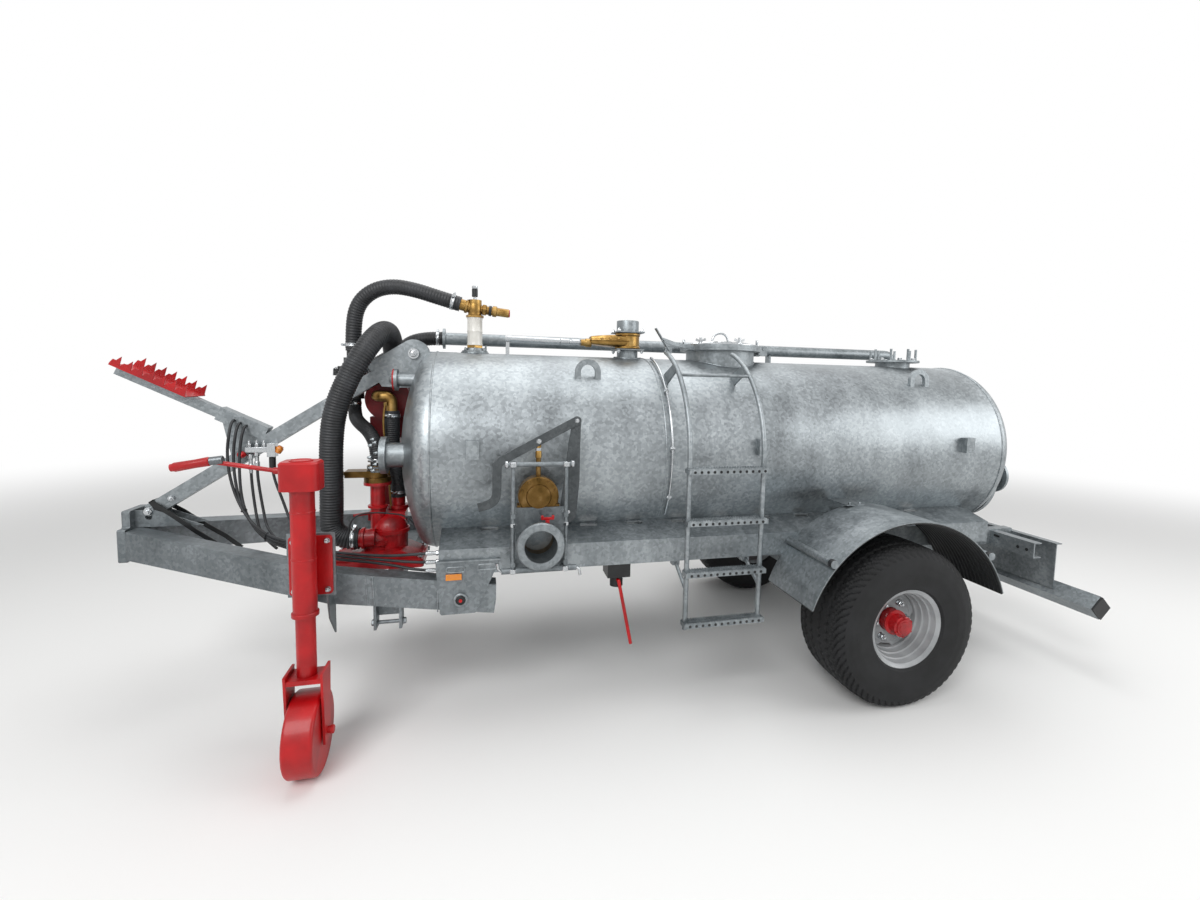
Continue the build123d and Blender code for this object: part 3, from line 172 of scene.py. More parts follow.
def sweptFrame(path):
    # at each point of a path two unit vectors square to it, turned as little as possible on the way
    tangent = np.gradient(path, axis=0)
    tangent /= np.linalg.norm(tangent, axis=1)[:, None]
    side = axisFrame(tangent[0])[1]
    across = []
    for t in tangent:
        side = side - t * (side @ t)
        side = side / np.linalg.norm(side)
        across.append(side)
    across = np.array(across)
    return across, np.cross(tangent, across)


def carried(path, profile):
    # a flat closed profile of (across, up) carried along a path
    path, profile = np.asarray(path, float), np.asarray(profile, float)
    across, up = sweptFrame(path)
    points = path[:, None] + profile[None, :, :1] * across[:, None] + profile[None, :, 1:] * up[:, None]
    return points.reshape(-1, 3), tubeFaces(len(path), len(profile))


def circleProfile(radius, sides=16):
    angle = np.linspace(0, tau, sides, endpoint=False)
    return np.stack([radius * np.cos(angle), radius * np.sin(angle)], 1)


def flatProfile(width, height):
    x, y = width / 2, height / 2
    return [(-x, -y), (x, -y), (x, y), (-x, y)]


def runAlong(line):
    # how far along a line each of its points lies
    return np.concatenate([[0], np.cumsum(np.linalg.norm(np.diff(line, axis=0), axis=1))])


def spacedPoints(line, count):
    # the same line as that many points, an equal way apart
    run = runAlong(line)
    at = np.linspace(0, run[-1], count)
    return np.stack([np.interp(at, run, line[:, i]) for i in range(3)], 1)


def boxPart(low, high):
    low, high = np.asarray(low, float), np.asarray(high, float)
    corners = np.array([[x, y, z] for x in (0, 1) for y in (0, 1) for z in (0, 1)])
    faces = [(0, 1, 3, 2), (4, 6, 7, 5), (0, 4, 5, 1), (2, 3, 7, 6), (0, 2, 6, 4), (1, 5, 7, 3)]
    return low + corners * (high - low), faces


washerThick = 0.003


def hexBolt(place, direction, across=0.024, height=0.013, thread=0.0):
    # washer, six-sided head with a chamfer, and a stub of thread if asked for
    way = np.asarray(axisFrame(direction)[0])
    radius = across / 2 / math.cos(math.pi / 6)
    washer = turned([(0, across * 0.62), (washerThick, across * 0.62), (washerThick, radius * 0.9)],
                    place, direction, 20)
    onWasher = np.asarray(place, float) + way * washerThick
    head = turned([(0, radius), (height - 0.002, radius), (height, radius * 0.86)], onWasher, direction, 6)
    parts = [washer, head]
    if thread:
        parts.append(turned([(0, across * 0.3), (thread, across * 0.3), (thread + 0.001, across * 0.24)],
                            onWasher + way * height, direction, 12))
    return joinParts(parts)


def makePiece(name, parts, material, body="chassis", smooth=True, bevel=0.0, angle=35):
    points, faces = joinParts(parts)
    piece = meshObject(name, points, faces, material, smooth)
    if bevel:
        modifier = piece.modifiers.new("edges", "BEVEL")
        modifier.width = bevel
        modifier.segments = 2
        modifier.limit_method = "ANGLE"
        modifier.angle_limit = math.radians(30)
        modifier.harden_normals = False
    if smooth:
        piece.data.set_sharp_from_angle(angle=math.radians(angle))
    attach(piece, body)
    return piece


def makePair(name, parts, material, leftBevel=0.0):
    # a piece on the left and its mirror image on the right
    makePiece(name + "Left", parts, material, bevel=leftBevel)
    makePiece(name + "Right", [flipped(part) for part in parts], material)


# ---- materials


def linearColour(hexText):
    # sRGB hex to linear light
    values = [int(hexText[i:i + 2], 16) / 255 for i in (1, 3, 5)]
    return [v / 12.92 if v <= 0.04045 else ((v + 0.055) / 1.055) ** 2.4 for v in values] + [1.0]


def addNode(tree, kind, settings=None, links=None):
    # a node with its plain settings, its sockets' values and what feeds them
    node = tree.nodes.new(kind)
    for key, value in (settings or {}).items():
        if hasattr(node, key):
            setattr(node, key, value)
        else:
            node.inputs[key].default_value = value
    for key, source in (links or {}).items():
        tree.links.new(source, node.inputs[key])
    return node


def newMaterial(name, settings):
    # an empty material with its shader, and object coordinates in metres
    material = bpy.data.materials.new(name)
    material.use_nodes = True
    tree = material.node_tree
    shader = tree.nodes["Principled BSDF"]
    for key, value in settings.items():
        shader.inputs[key].default_value = value
    place = addNode(tree, "ShaderNodeTexCoord").outputs["Object"]
    return material, tree, shader, place


def colourRamp(tree, source, stops):
    # grey value to colour through sRGB hex stops
    node = addNode(tree, "ShaderNodeValToRGB", links={"Fac": source})
    ramp = node.color_ramp
    while len(ramp.elements) < len(stops):
        ramp.elements.new(0.5)
    for element, (position, colour) in zip(ramp.elements, stops):
        element.position = position
        element.color = linearColour(colour)
    return node.outputs["Color"]


def stretched(tree, place, scale):
    return addNode(tree, "ShaderNodeMapping", {"Scale": scale}, {"Vector": place}).outputs["Vector"]


def bump(tree, shader, height, distance):
    node = addNode(tree, "ShaderNodeBump", {"Distance": distance}, {"Height": height})
    tree.links.new(node.outputs["Normal"], shader.inputs["Normal"])
    return node


def noise(tree, place, size, detail, **more):
    # cloudy grey value with features about that many millimetres wide
    settings = {"Scale": 1000 / size, "Detail": detail, **more}
    return addNode(tree, "ShaderNodeTexNoise", settings, {"Vector": place}).outputs["Fac"]


def hotDipZinc(name, s):
    # hot-dip galvanised steel: a dull bluish grey zinc skin with faint flowers, runs and smears from the bath
    base = {"Metallic": s["metallic"], "Roughness": s["roughness"]}
    material, tree, shader, place = newMaterial(name, base)
    flowers = addNode(tree, "ShaderNodeTexVoronoi", {"Scale": 1000 / s["flowerSize"]}, {"Vector": place})
    clouds = noise(tree, stretched(tree, place, (1.0, 1.0, 0.55)), s["cloudSize"], 5.0, Roughness=0.62)
    runs = noise(tree, stretched(tree, place, (1.0, 0.35, 0.06)), s["runWidth"], 3.0)
    both = addNode(tree, "ShaderNodeMix", {"data_type": "FLOAT", "Factor": 0.3}, {"A": clouds, "B": runs})
    cell = addNode(tree, "ShaderNodeSeparateColor", links={"Color": flowers.outputs["Color"]})
    mixed = addNode(tree, "ShaderNodeMix", {"data_type": "FLOAT", "Factor": s["flowerShow"]},
                    {"A": both.outputs["Result"], "B": cell.outputs["Red"]})
    mixed = mixed.outputs["Result"]
    colour = colourRamp(tree, mixed, [(0.30, s["dark"]), (0.50, s["mid"]), (0.68, s["light"])])
    tree.links.new(colour, shader.inputs["Base Color"])
    roughRange = {"From Min": 0.3, "From Max": 0.7, "To Min": s["roughness"] - 0.08,
                  "To Max": s["roughness"] + 0.16}
    rough = addNode(tree, "ShaderNodeMapRange", roughRange, {"Value": mixed})
    tree.links.new(rough.outputs["Result"], shader.inputs["Roughness"])
    grit = noise(tree, place, s["gritSize"], 2.0)
    swell = noise(tree, place, s["swellSize"], 1.0)
    fine = bump(tree, shader, grit, s["gritDepth"])
    wide = addNode(tree, "ShaderNodeBump", {"Distance": s["swellDepth"]}, {"Height": swell})
    tree.links.new(wide.outputs["Normal"], fine.inputs["Normal"])
    return material


zincPlate = {"metallic": 0.85, "roughness": 0.42, "dark": "#6C7275", "mid": "#888E91", "light": "#A3A9AC",
             "flowerSize": 14, "flowerShow": 0.16, "cloudSize": 260, "runWidth": 60,
             "gritSize": 7, "gritDepth": 0.0006, "swellSize": 300, "swellDepth": 0.0}
# the same zinc a little lighter for the tank: painted light, for its sky-lit upper half; also smoother, with
# wider clouds and runs and a slow swell
litTankZinc = dict(zincPlate, roughness=0.36, dark="#74797C", mid="#92989B", light="#AEB4B7", cloudSize=420,
                runWidth=120, swellSize=330, swellDepth=0.015)
# a rougher copy of the same zinc for the drawbar beams, cross members, gussets and fittings beside them, its
# darker tones painted shade on their upright faces
dullShadedZinc = dict(zincPlate, roughness=0.5, dark="#5D6366", mid="#777D80", light="#92989B")
# a rougher copy of the same zinc, darker still as painted shade, for the side lever's upright face
dullDeepShadeZinc = dict(zincPlate, roughness=0.5, dark="#3C4042", mid="#4E5254", light="#5E6264")


def brightZinc(name, colours, roughness=0.25):
    # bright zinc plate on turned and pressed parts: clean, slightly blue, with fine tool marks
    material, tree, shader, place = newMaterial(name, {"Metallic": 1.0, "Roughness": roughness})
    marks = noise(tree, place, 4, 3.0)
    tree.links.new(colourRamp(tree, marks, [(0.3, colours[0]), (0.7, colours[1])]),
                   shader.inputs["Base Color"])
    bump(tree, shader, marks, 0.0003)
    return material


def sprayPaint(name, s):
    # gloss paint over steel or casting: even colour, orange peel of a few millimetres, dull dust in patches
    gloss = {"Roughness": s["roughness"], "Coat Weight": s["coat"], "Coat Roughness": 0.12,
             "Specular IOR Level": 0.38}
    material, tree, shader, place = newMaterial(name, gloss)
    patches = noise(tree, place, s["patchSize"], 4.0)
    tree.links.new(colourRamp(tree, patches, [(0.32, s["dark"]), (0.62, s["light"])]),
                   shader.inputs["Base Color"])
    bump(tree, shader, noise(tree, place, s["peelSize"], 2.0), s["peelDepth"])
    return material


def castBrass(name, colours, roughness=0.34):
    # sand-cast brass: warm, a little brown in its hollows, pitted at about 3 mm
    material, tree, shader, place = newMaterial(name, {"Metallic": 1.0, "Roughness": roughness})
    stain = noise(tree, place, 45, 5.0)
    tree.links.new(colourRamp(tree, stain, list(zip((0.3, 0.55, 0.75), colours))),
                   shader.inputs["Base Color"])
    bump(tree, shader, noise(tree, place, 3, 2.0), 0.0005)
    return material


def blackRubber(name, s):
    # carbon-black rubber: nearly black, matt, with a faint grey bloom
    matt = {"Roughness": s["roughness"], "Specular IOR Level": 0.4}
    material, tree, shader, place = newMaterial(name, matt)
    bloom = noise(tree, place, s["bloomSize"], 5.0)
    tree.links.new(colourRamp(tree, bloom, [(0.35, s["dark"]), (0.7, s["light"])]),
                   shader.inputs["Base Color"])
    bump(tree, shader, noise(tree, place, s["grainSize"], 2.0), s["grainDepth"])
    return material


zinc = hotDipZinc("hotDipZinc", zincPlate)
zincTankLit = hotDipZinc("hotDipZincTank", litTankZinc)
zincDullShaded = hotDipZinc("hotDipZincDull", dullShadedZinc)
zincDullDeepShade = hotDipZinc("hotDipZincDark", dullDeepShadeZinc)
brightSteel = brightZinc("brightZinc", ("#A7ABAE", "#C6C9CB"))
darkSteel = brightZinc("dullSteel", ("#5C6063", "#7D8184"), 0.4)
redPaint = sprayPaint("redGlossPaint",
                      {"roughness": 0.42, "coat": 0.15, "dark": "#8E0208", "light": "#B6050C",
                       "patchSize": 160, "peelSize": 9, "peelDepth": 0.0006})
castRed = sprayPaint("redPaintOnCasting",
                     {"roughness": 0.42, "coat": 0.3, "dark": "#7E060C", "light": "#B00912",
                      "patchSize": 70, "peelSize": 5, "peelDepth": 0.0016})
darkRed = sprayPaint("darkRedPaint", {"roughness": 0.5, "coat": 0.1, "dark": "#5C070D", "light": "#7D0C14",
                                      "patchSize": 90, "peelSize": 5, "peelDepth": 0.0016})
wheelSilver = sprayPaint("silverWheelPaint",
                         {"roughness": 0.38, "coat": 0.3, "dark": "#8B8E90", "light": "#A3A6A8",
                          "patchSize": 120, "peelSize": 6, "peelDepth": 0.0004})
brass = castBrass("castBrass", ("#76592F", "#9C7C47", "#BA9A62"))
# a rougher copy of the cast brass for the riser and side valves, its darker tones painted shade
brassDullShaded = castBrass("castBrassDull", ("#54401F", "#705630", "#8A7048"), 0.42)
tyreRubber = blackRubber("tyreRubber",
                         {"roughness": 0.72, "dark": "#0C0D0E", "light": "#1A1B1D", "bloomSize": 120,
                          "grainSize": 5, "grainDepth": 0.0008})
hoseRubber = blackRubber("hoseRubber",
                         {"roughness": 0.5, "dark": "#1C1D1F", "light": "#2E3033", "bloomSize": 60,
                          "grainSize": 4, "grainDepth": 0.0004})
blackPlastic = blackRubber("mouldedBlackPlastic", {"roughness": 0.4, "dark": "#141516", "light": "#1E2021",
                                                   "bloomSize": 50, "grainSize": 3, "grainDepth": 0.0003})
whitePlastic = sprayPaint("whitePlastic",
                          {"roughness": 0.3, "coat": 0.2, "dark": "#C9C6BE", "light": "#DEDCD6",
                           "patchSize": 80, "peelSize": 12, "peelDepth": 0.0002})

nodeFinish = {
    zincTankLit: ["tank"],
    zincDullShaded: ["jack_console", "gusset_left", "gusset_right", "cross_members", "drawbar_beam_left",
               "drawbar_beam_right", "hitch_flange", "side_coupling"],
    brightSteel: ["top_cylinder", "side_lever"],
    brass: ["relief_tee", "top_valve", "delivery_elbow"],
    brassDullShaded: ["riser_valve", "side_valve"],
    redPaint: ["jack_tube", "jack_leg", "jack_wheel", "hose_comb", "drain_lever"],
    castRed: ["pump", "hub_left", "hub_right"],
    darkRed: ["compressor"],
    wheelSilver: ["rim_left", "rim_right"],
    tyreRubber: ["tyre_left", "tyre_right"],
    hoseRubber: ["suction_hose", "arch_hose", "air_hose"],
    blackPlastic: ["moisture_trap", "bar_caps", "drain_valve"],
    whitePlastic: ["sight_glass"],
}
finishOf = {name: material for material, names in nodeFinish.items() for name in names}
for name, node in nodes.items():
    node.data.materials.clear()
    node.data.materials.append(finishOf.get(name, zinc))
    node.data.polygons.foreach_set("material_index", [0] * len(node.data.polygons))
print("materials made")


# ---- hoses

hoseSettings = {
    "suction": {"radius": 0.057, "pitch": 0.0145, "body": 0.0535},
    "arch": {"radius": 0.042, "pitch": 0.016, "body": 0.0400},
    "air": {"radius": 0.042, "pitch": 0.016, "body": 0.0400},
    "delivery": {"radius": 0.042, "pitch": 0.011, "body": 0.0395},
    "trap": {"radius": 0.036, "pitch": 0.011, "body": 0.0335},
    "thin": {"radius": 0.007, "pitch": 0.02, "body": 0.0068},
}
suctionRoute = [(2.778, 0.205, 0.832), (2.914, 0.205, 0.832), (2.905, 0.212, 1.044), (2.902, 0.222, 1.340),
                (2.878, 0.226, 1.520), (2.805, 0.220, 1.700), (2.735, 0.190, 1.830), (2.685, 0.105, 1.920),
                (2.660, -0.015, 1.945), (2.655, -0.125, 1.900), (2.655, -0.190, 1.805),
                (2.655, -0.190, 1.710)]
archRoute = [(2.855, -0.100, 1.830), (2.855, -0.100, 1.965), (2.828, -0.088, 2.088), (2.748, -0.065, 2.165),
             (2.640, -0.040, 2.194), (2.520, -0.018, 2.178), (2.391, 0, 2.1395), (2.271, 0, 2.108)]
airRoute = [(2.855, -0.190, 1.720), (2.855, -0.280, 1.720), (2.790, -0.350, 1.755), (2.650, -0.385, 1.850),
            (2.535, -0.300, 1.930), (2.387, -0.300, 1.930)]
deliveryRoute = [(2.612, 0.015, 1.012), (2.612, 0.015, 1.110), (2.634, 0.015, 1.200), (2.640, 0.025, 1.300),
                 (2.636, 0.040, 1.420), (2.636, 0.040, 1.500)]
trapRoute = [(2.700, 0.120, 1.210), (2.700, 0.120, 1.300), (2.740, 0.080, 1.385), (2.830, -0.040, 1.435),
             (2.855, -0.100, 1.475), (2.855, -0.100, 1.560)]
thinEnds = (0.775, 0.815, 0.858)
thinRoutes = [[(3.350 + 0.028 * i, 0.035, 1.415 + 0.014 * i), (3.350 + 0.028 * i, 0.080, 1.415 + 0.014 * i),
               (3.370 + 0.028 * i, 0.095, 1.230), (3.345 + 0.010 * i, 0.130, 0.985 + 0.014 * i),
               (3.220 + 0.006 * i, 0.230 - 0.004 * i, 0.852 + 0.016 * i), (3.050, 0.330, 0.822 + 0.016 * i),
               (2.850, 0.470, 0.812 + 0.016 * i), (2.600, 0.560, 0.806 + 0.016 * i),
               (2.430, 0.6125, endHeight), (2.347, 0.6125, endHeight)]
              for i, endHeight in enumerate(thinEnds)]


def smoothRoute(points):
    # points along the NURBS spline that has the route's points as its control points
    curve = bpy.data.curves.new("route", "CURVE")
    curve.dimensions = "3D"
    spline = curve.splines.new("NURBS")
    spline.points.add(len(points) - 1)
    spline.points.foreach_set("co", np.hstack([np.asarray(points, float), np.ones((len(points), 1))]).ravel())
    spline.order_u = 3
    spline.use_endpoint_u = True
    spline.resolution_u = 24
    holder = bpy.data.objects.new("route", curve)
    bpy.context.scene.collection.objects.link(holder)
    bpy.context.view_layer.update()
    mesh = bpy.data.meshes.new_from_object(holder)
    line = np.empty(len(mesh.vertices) * 3)
    mesh.vertices.foreach_get("co", line)
    bpy.data.objects.remove(holder)
    bpy.data.meshes.remove(mesh)
    return line.reshape(-1, 3)


def evenSteps(line, step):
    # the same line walked in equal steps, and its length
    length = runAlong(line)[-1]
    return spacedPoints(line, max(8, int(length / step)) + 1), length


def ribbedHose(name, node, route, s, sides=40, steps=6):
    # a round tube whose radius swells once a pitch: body + (radius - body) * ((1 + cos(turns)) / 2) ** 0.7
    line, length = evenSteps(smoothRoute(route), s["pitch"] / steps)
    across, up = sweptFrame(line)
    along = np.linspace(0, length, len(line))
    radius = s["body"] + (s["radius"] - s["body"]) * (0.5 + 0.5 * np.cos(tau * along / s["pitch"])) ** 0.7
    angle = np.linspace(0, tau, sides, endpoint=False)
    ring = np.cos(angle)[None, :, None] * across[:, None] + np.sin(angle)[None, :, None] * up[:, None]
    points = line[:, None] + radius[:, None, None] * ring
    piece = meshObject(name, points, tubeFaces(len(line), sides), hoseRubber)
    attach(piece, "chassis")
    if node:
        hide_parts(node)
    print(name, "length", round(float(length), 3))
    return piece


for name, node, route, kind, sides in (("suctionHose", "suction_hose", suctionRoute, "suction", 40),
                                       ("archHose", "arch_hose", archRoute, "arch", 40),
                                       ("airHose", "air_hose", airRoute, "air", 40),
                                       ("deliveryHose", "pump_hoses", deliveryRoute, "delivery", 32),
                                       ("trapHose", "pump_hoses", trapRoute, "trap", 32)):
    ribbedHose(name, node, route, hoseSettings[kind], sides)
for i, thinRoute in enumerate(thinRoutes):
    ribbedHose(f"hydraulicHose{i + 1}", "hydraulic_hoses", thinRoute, hoseSettings["thin"], 12, 5)
print("hoses made")


# ---- wheels

tyreSettings = {
    "side": 0.830, "height": 0.437, "radius": 0.437, "half": 0.190, "turns": 480, "seat": 0.1975,
    "treadHalf": 0.098, "treadFrom": 0.38, "grooves": (-0.088, -0.034, 0.034, 0.088), "grooveWidth": 0.0085,
    "grooveDepth": 0.010, "zigzag": 0.0075, "waves": 60, "lugs": 60, "lugDepth": 0.011, "lugFrom": 0.118,
    "ribAt": 0.345, "ribHeight": 0.0015,
}


def tyreSurface(s):
    # outer shape by straight pieces between a few measured points, closed on itself inside the rim
    half, radius = s["half"], s["radius"]
    outline = np.array([(half - 0.040, s["seat"]), (half - 0.012, 0.222), (half - 0.006, 0.262),
                        (half, 0.305), (half - 0.002, 0.350), (half - 0.010, 0.388), (half - 0.026, 0.416),
                        (half - 0.048, 0.430), (half - 0.090, radius - 0.002)])
    side = outline[::-1] * (-1, 1)
    across = np.linspace(-s["treadHalf"], s["treadHalf"], 60)
    tread = np.stack([across, radius - 0.002 * (across / s["treadHalf"]) ** 2], 1)
    seat = np.stack([np.linspace(half - 0.055, 0.055 - half, 5), np.full(5, s["seat"])], 1)
    walls = [np.concatenate([np.linspace(a, b, 4, endpoint=False) for a, b in zip(rows, rows[1:])])
             for rows in (outline, side)]
    section = np.concatenate([walls[0], tread[::-1], walls[1], side[-1:], seat[::-1]])
    y, r = section[:, 0][None], section[:, 1][None]
    angle = np.linspace(0, tau, s["turns"], endpoint=False)[:, None]
    # grooves: full depth where |y - groove - zigzag(angle)| is small, with walls that slope over 4 mm
    phase = angle * s["waves"] / tau % 1
    wave = (np.abs(phase - 0.5) * 4 - 1) * s["zigzag"]
    cut = np.zeros((s["turns"], section.shape[0]))
    for g in s["grooves"]:
        gap = np.abs(y - g - wave)
        cut = np.maximum(cut, np.clip((s["grooveWidth"] - gap) / 0.004, 0, 1) * s["grooveDepth"])
    # shoulder lugs: a notch between lugs from the last groove out over the edge, leaning with the turn
    lean = (angle * s["lugs"] / tau + 3.0 * np.sign(y) * (np.abs(y) - s["lugFrom"]) / 0.07) % 1
    notch = np.clip((0.22 - np.abs(lean - 0.5)) / 0.06, 0, 1)
    notch = notch * np.clip((np.abs(y) - s["lugFrom"]) / 0.006, 0, 1) * np.clip((r - 0.385) / 0.012, 0, 1)
    cut = np.maximum(cut, notch * s["lugDepth"])
    r = r - np.where(r > s["treadFrom"], cut, 0)
    # a raised rib round each side wall
    y = y + np.sign(y) * s["ribHeight"] * np.exp(-((r - s["ribAt"]) / 0.004) ** 2)
    points = np.stack([r * np.sin(angle), y, r * np.cos(angle)], -1)
    return points.reshape(-1, 3), gridFaces(s["turns"], section.shape[0], loopRows=True, loopColumns=True)


treadPoints, treadFaces = tyreSurface(tyreSettings)
wheelMiddle = np.array((0, tyreSettings["side"], tyreSettings["height"]))
leftTyre = (treadPoints + wheelMiddle, treadFaces.tolist())

wheelSettings = {"discFace": 0.865, "studs": 6, "circle": 0.1025, "hubEnd": 0.975, "capScrews": 6,
                 "capCircle": 0.052}


def wheelTrim(s):
    # nuts on their studs, a ring of ribs on the hub and its screwed cap
    centre = np.array((0, 0, tyreSettings["height"]))
    nuts = []
    for i in range(s["studs"]):
        a = tau * (i + 0.5) / s["studs"]
        place = centre + s["circle"] * np.array((math.sin(a), 0, math.cos(a))) + (0, s["discFace"], 0)
        nuts.append(turned([(0, 0.019), (0.005, 0.017), (0.006, 0.0155)], place, leftward, 24))
        nuts.append(hexBolt(place + (0, 0.004, 0), leftward, 0.027, 0.018, 0.014))
    end = s["hubEnd"]
    cap = [turned([(-0.072, 0.0615), (-0.070, 0.068), (-0.062, 0.068), (-0.058, 0.052), (-0.020, 0.050),
                   (-0.018, 0.056), (-0.008, 0.056), (-0.004, 0.047), (0.004, 0.045), (0.006, 0.036),
                   (0.010, 0.034), (0.012, 0.012), (0.012, 0.001)], centre + (0, end, 0), leftward, 48)]
    for i in range(s["capScrews"]):
        a = tau * i / s["capScrews"]
        spoke = np.array((math.sin(a), 0, math.cos(a)))
        cap.append(hexBolt(centre + spoke * s["capCircle"] + (0, end - 0.012, 0), leftward, 0.010, 0.007))
    return nuts, cap


nutParts, hubParts = wheelTrim(wheelSettings)
valve = turned([(0, 0.004), (0.020, 0.004), (0.021, 0.0055), (0.034, 0.0055), (0.035, 0.003)],
               (0.118, 0.868, tyreSettings["height"] + 0.095), (0.25, 1, 0.2), 12)
for side, turn in bothSides:
    body = "wheel_" + side
    tyre = makePiece("tyreTread_" + side, [turn(leftTyre)], tyreRubber, body, angle=28)
    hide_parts("tyre_" + side)
    makePiece("wheelNuts_" + side, [turn(part) for part in nutParts], brightSteel, body)
    makePiece("hubCap_" + side, [turn(part) for part in hubParts], castRed, body)
    makePiece("tyreValve_" + side, [turn(valve)], darkSteel, body)
print("wheels made")


# ---- small parts used in many places


def bar(start, end, radius, sides=12):
    # round bar between two points
    start, end = np.asarray(start, float), np.asarray(end, float)
    length = float(np.linalg.norm(end - start))
    return turned([(0, radius * 0.9), (radius * 0.1, radius), (length - radius * 0.1, radius),
                   (length, radius * 0.9)], start, end - start, sides)


def bead(path, radius=0.003, ripple=0.0008, pitch=0.005, sides=8):
    # weld bead: a rod along a path whose radius ripples as the puddle did
    path = np.asarray(path, float)
    line = spacedPoints(path, max(6, int(runAlong(path)[-1] / pitch)))
    points, faces = carried(line, circleProfile(radius, sides))
    swell = 1 + ripple / radius * np.sin(np.arange(len(line)) * 2.1)[:, None, None]
    points = line[:, None] + (points.reshape(len(line), sides, 3) - line[:, None]) * swell
    return points.reshape(-1, 3), faces


def slab(centre, size, turnY=0.0):
    # box about a centre, turned about Y
    half = np.asarray(size, float) / 2
    points, faces = boxPart(-half, half)
    x, y, z = points.T
    c, n = math.cos(turnY), math.sin(turnY)
    return np.stack([x * c + z * n, y, z * c - x * n], 1) + centre, faces


def hoseClamp(place, direction, radius, turn=0.0):
    # steel band with a rolled edge, and the screw housing that draws it tight
    direction, first, second = axisFrame(direction)
    place = np.asarray(place, float)
    ring = turned([(-0.009, radius - 0.003), (-0.009, radius + 0.0016), (-0.007, radius + 0.0026),
                   (-0.005, radius + 0.0014), (0.005, radius + 0.0014), (0.007, radius + 0.0026),
                   (0.009, radius + 0.0016), (0.009, radius - 0.003)], place, direction, 40)
    out = math.cos(turn) * first + math.sin(turn) * second
    along = np.cross(direction, out)
    at = place + out * (radius + 0.007)
    housing = turned([(-0.014, 0.0075), (0.014, 0.0075)], at, along, 6)
    screw = turned([(0.014, 0.004), (0.024, 0.004), (0.024, 0.0075), (0.031, 0.0075), (0.031, 0.002)], at,
                   along, 10)
    return joinParts([ring, housing, screw])


def nutRing(centre, direction, circle, count, across=0.019, height=0.012, start=0.0, thread=0.006):
    direction, first, second = axisFrame(direction)
    parts = []
    for i in range(count):
        a = start + tau * i / count
        place = np.asarray(centre, float) + circle * (math.cos(a) * first + math.sin(a) * second)
        parts.append(hexBolt(place, direction, across, height, thread))
    return joinParts(parts)


def stadiumPath(centre, length, height):
    # closed long-round path in a plane of constant y
    r = height / 2
    ends = []
    for sign in (1, -1):
        a = np.linspace(-math.pi / 2, math.pi / 2, 14)
        ends.append(np.stack([sign * (length / 2 - r + r * np.cos(a)), 0 * a, sign * r * np.sin(a)], 1))
    path = np.concatenate(ends)
    return np.vstack([path, path[:1]]) + centre


def glassyPlastic(name, colour, pitch):
    # moulded reflector: clear coloured skin over a grid of prisms a few millimetres wide
    material, tree, shader, place = newMaterial(name, {"Roughness": 0.25, "Coat Weight": 0.6})
    prisms = addNode(tree, "ShaderNodeTexVoronoi", {"Scale": 1000 / pitch, "Randomness": 0.0},
                     {"Vector": place})
    tree.links.new(colourRamp(tree, prisms.outputs["Distance"], [(0.0, colour[0]), (0.6, colour[1])]),
                   shader.inputs["Base Color"])
    bump(tree, shader, prisms.outputs["Distance"], 0.0006)
    return material


amber = glassyPlastic("amberReflector", ("#F2A51E", "#C96A08"), 4)


# ---- hose clamps

clamps = [
    hoseClamp((2.806, 0.205, 0.832), forward, 0.057, 2.2), hoseClamp((2.655, -0.190, 1.742), upward, 0.057),
    hoseClamp((2.855, -0.100, 1.862), upward, 0.042, 1.2),
    hoseClamp((2.313, 0, 2.118), (-0.97, 0, -0.25), 0.042, 2.0),
    hoseClamp((2.855, -0.222, 1.720), leftward, 0.042),
    hoseClamp((2.418, -0.300, 1.930), forward, 0.042, 1.9),
    hoseClamp((2.612, 0.015, 1.040), upward, 0.042, 2.6),
    hoseClamp((2.636, 0.040, 1.474), upward, 0.042, 2.6),
    hoseClamp((2.700, 0.120, 1.236), upward, 0.036, 2.4),
    hoseClamp((2.855, -0.100, 1.535), upward, 0.036, 2.4),
]
makePiece("hoseClamps", clamps, brightSteel)
unions = []
for z in thinEnds:
    unions += [turned([(0, 0.0085), (0.022, 0.0085), (0.024, 0.0095), (0.056, 0.0095), (0.058, 0.0075)],
                      (2.3485, 0.6115, z), forward, 16),
               turned([(0, 0.0125), (0.010, 0.0125), (0.011, 0.011)], (2.3485, 0.6100, z), forward, 6)]
makePiece("hydraulicUnions", unions, brightSteel)


# ---- gusset, drawbar and stay details

gussetFace = 0.628
beamFace = 0.621
lampSocket = (2.247, gussetFace, 0.627)
gussetTrim = [slab((2.209, gussetFace + 0.005, 0.818), (0.296, 0.010, 0.007))]
for x, z in ((2.269, 0.776), (2.124, 0.782)):
    gussetTrim.append(carried(stadiumPath((x, gussetFace, z), 0.086, 0.026), circleProfile(0.0045, 8)))
gussetTrim += [turned([(-0.002, 0.033), (0.008, 0.033), (0.010, 0.030), (0.010, 0.024), (0.002, 0.023)],
                      lampSocket, leftward, 36),
               bead([(2.352, gussetFace, 0.575), (2.352, gussetFace, 0.680)]),
               bead([(2.632, beamFace, 0.628), (2.640, beamFace, 0.762)], 0.004),
               bead([(2.660, beamFace, 0.632), (2.668, beamFace, 0.766)], 0.0025)]
for x, way in ((2.516, -1), (2.640, 1)):
    gussetTrim.append(hexBolt((x, 0.570, 0.522), (way, 0, 0), 0.026, 0.012))
gussetSocket = turned([(0, 0.022), (0.014, 0.022), (0.016, 0.019), (0.016, 0.010)], lampSocket, leftward, 32)
gussetPlug = turned([(0.010, 0.009), (0.019, 0.008), (0.020, 0.003)], lampSocket, leftward, 20)
gussetReflector = slab((2.278, gussetFace + 0.004, 0.741), (0.074, 0.009, 0.029))
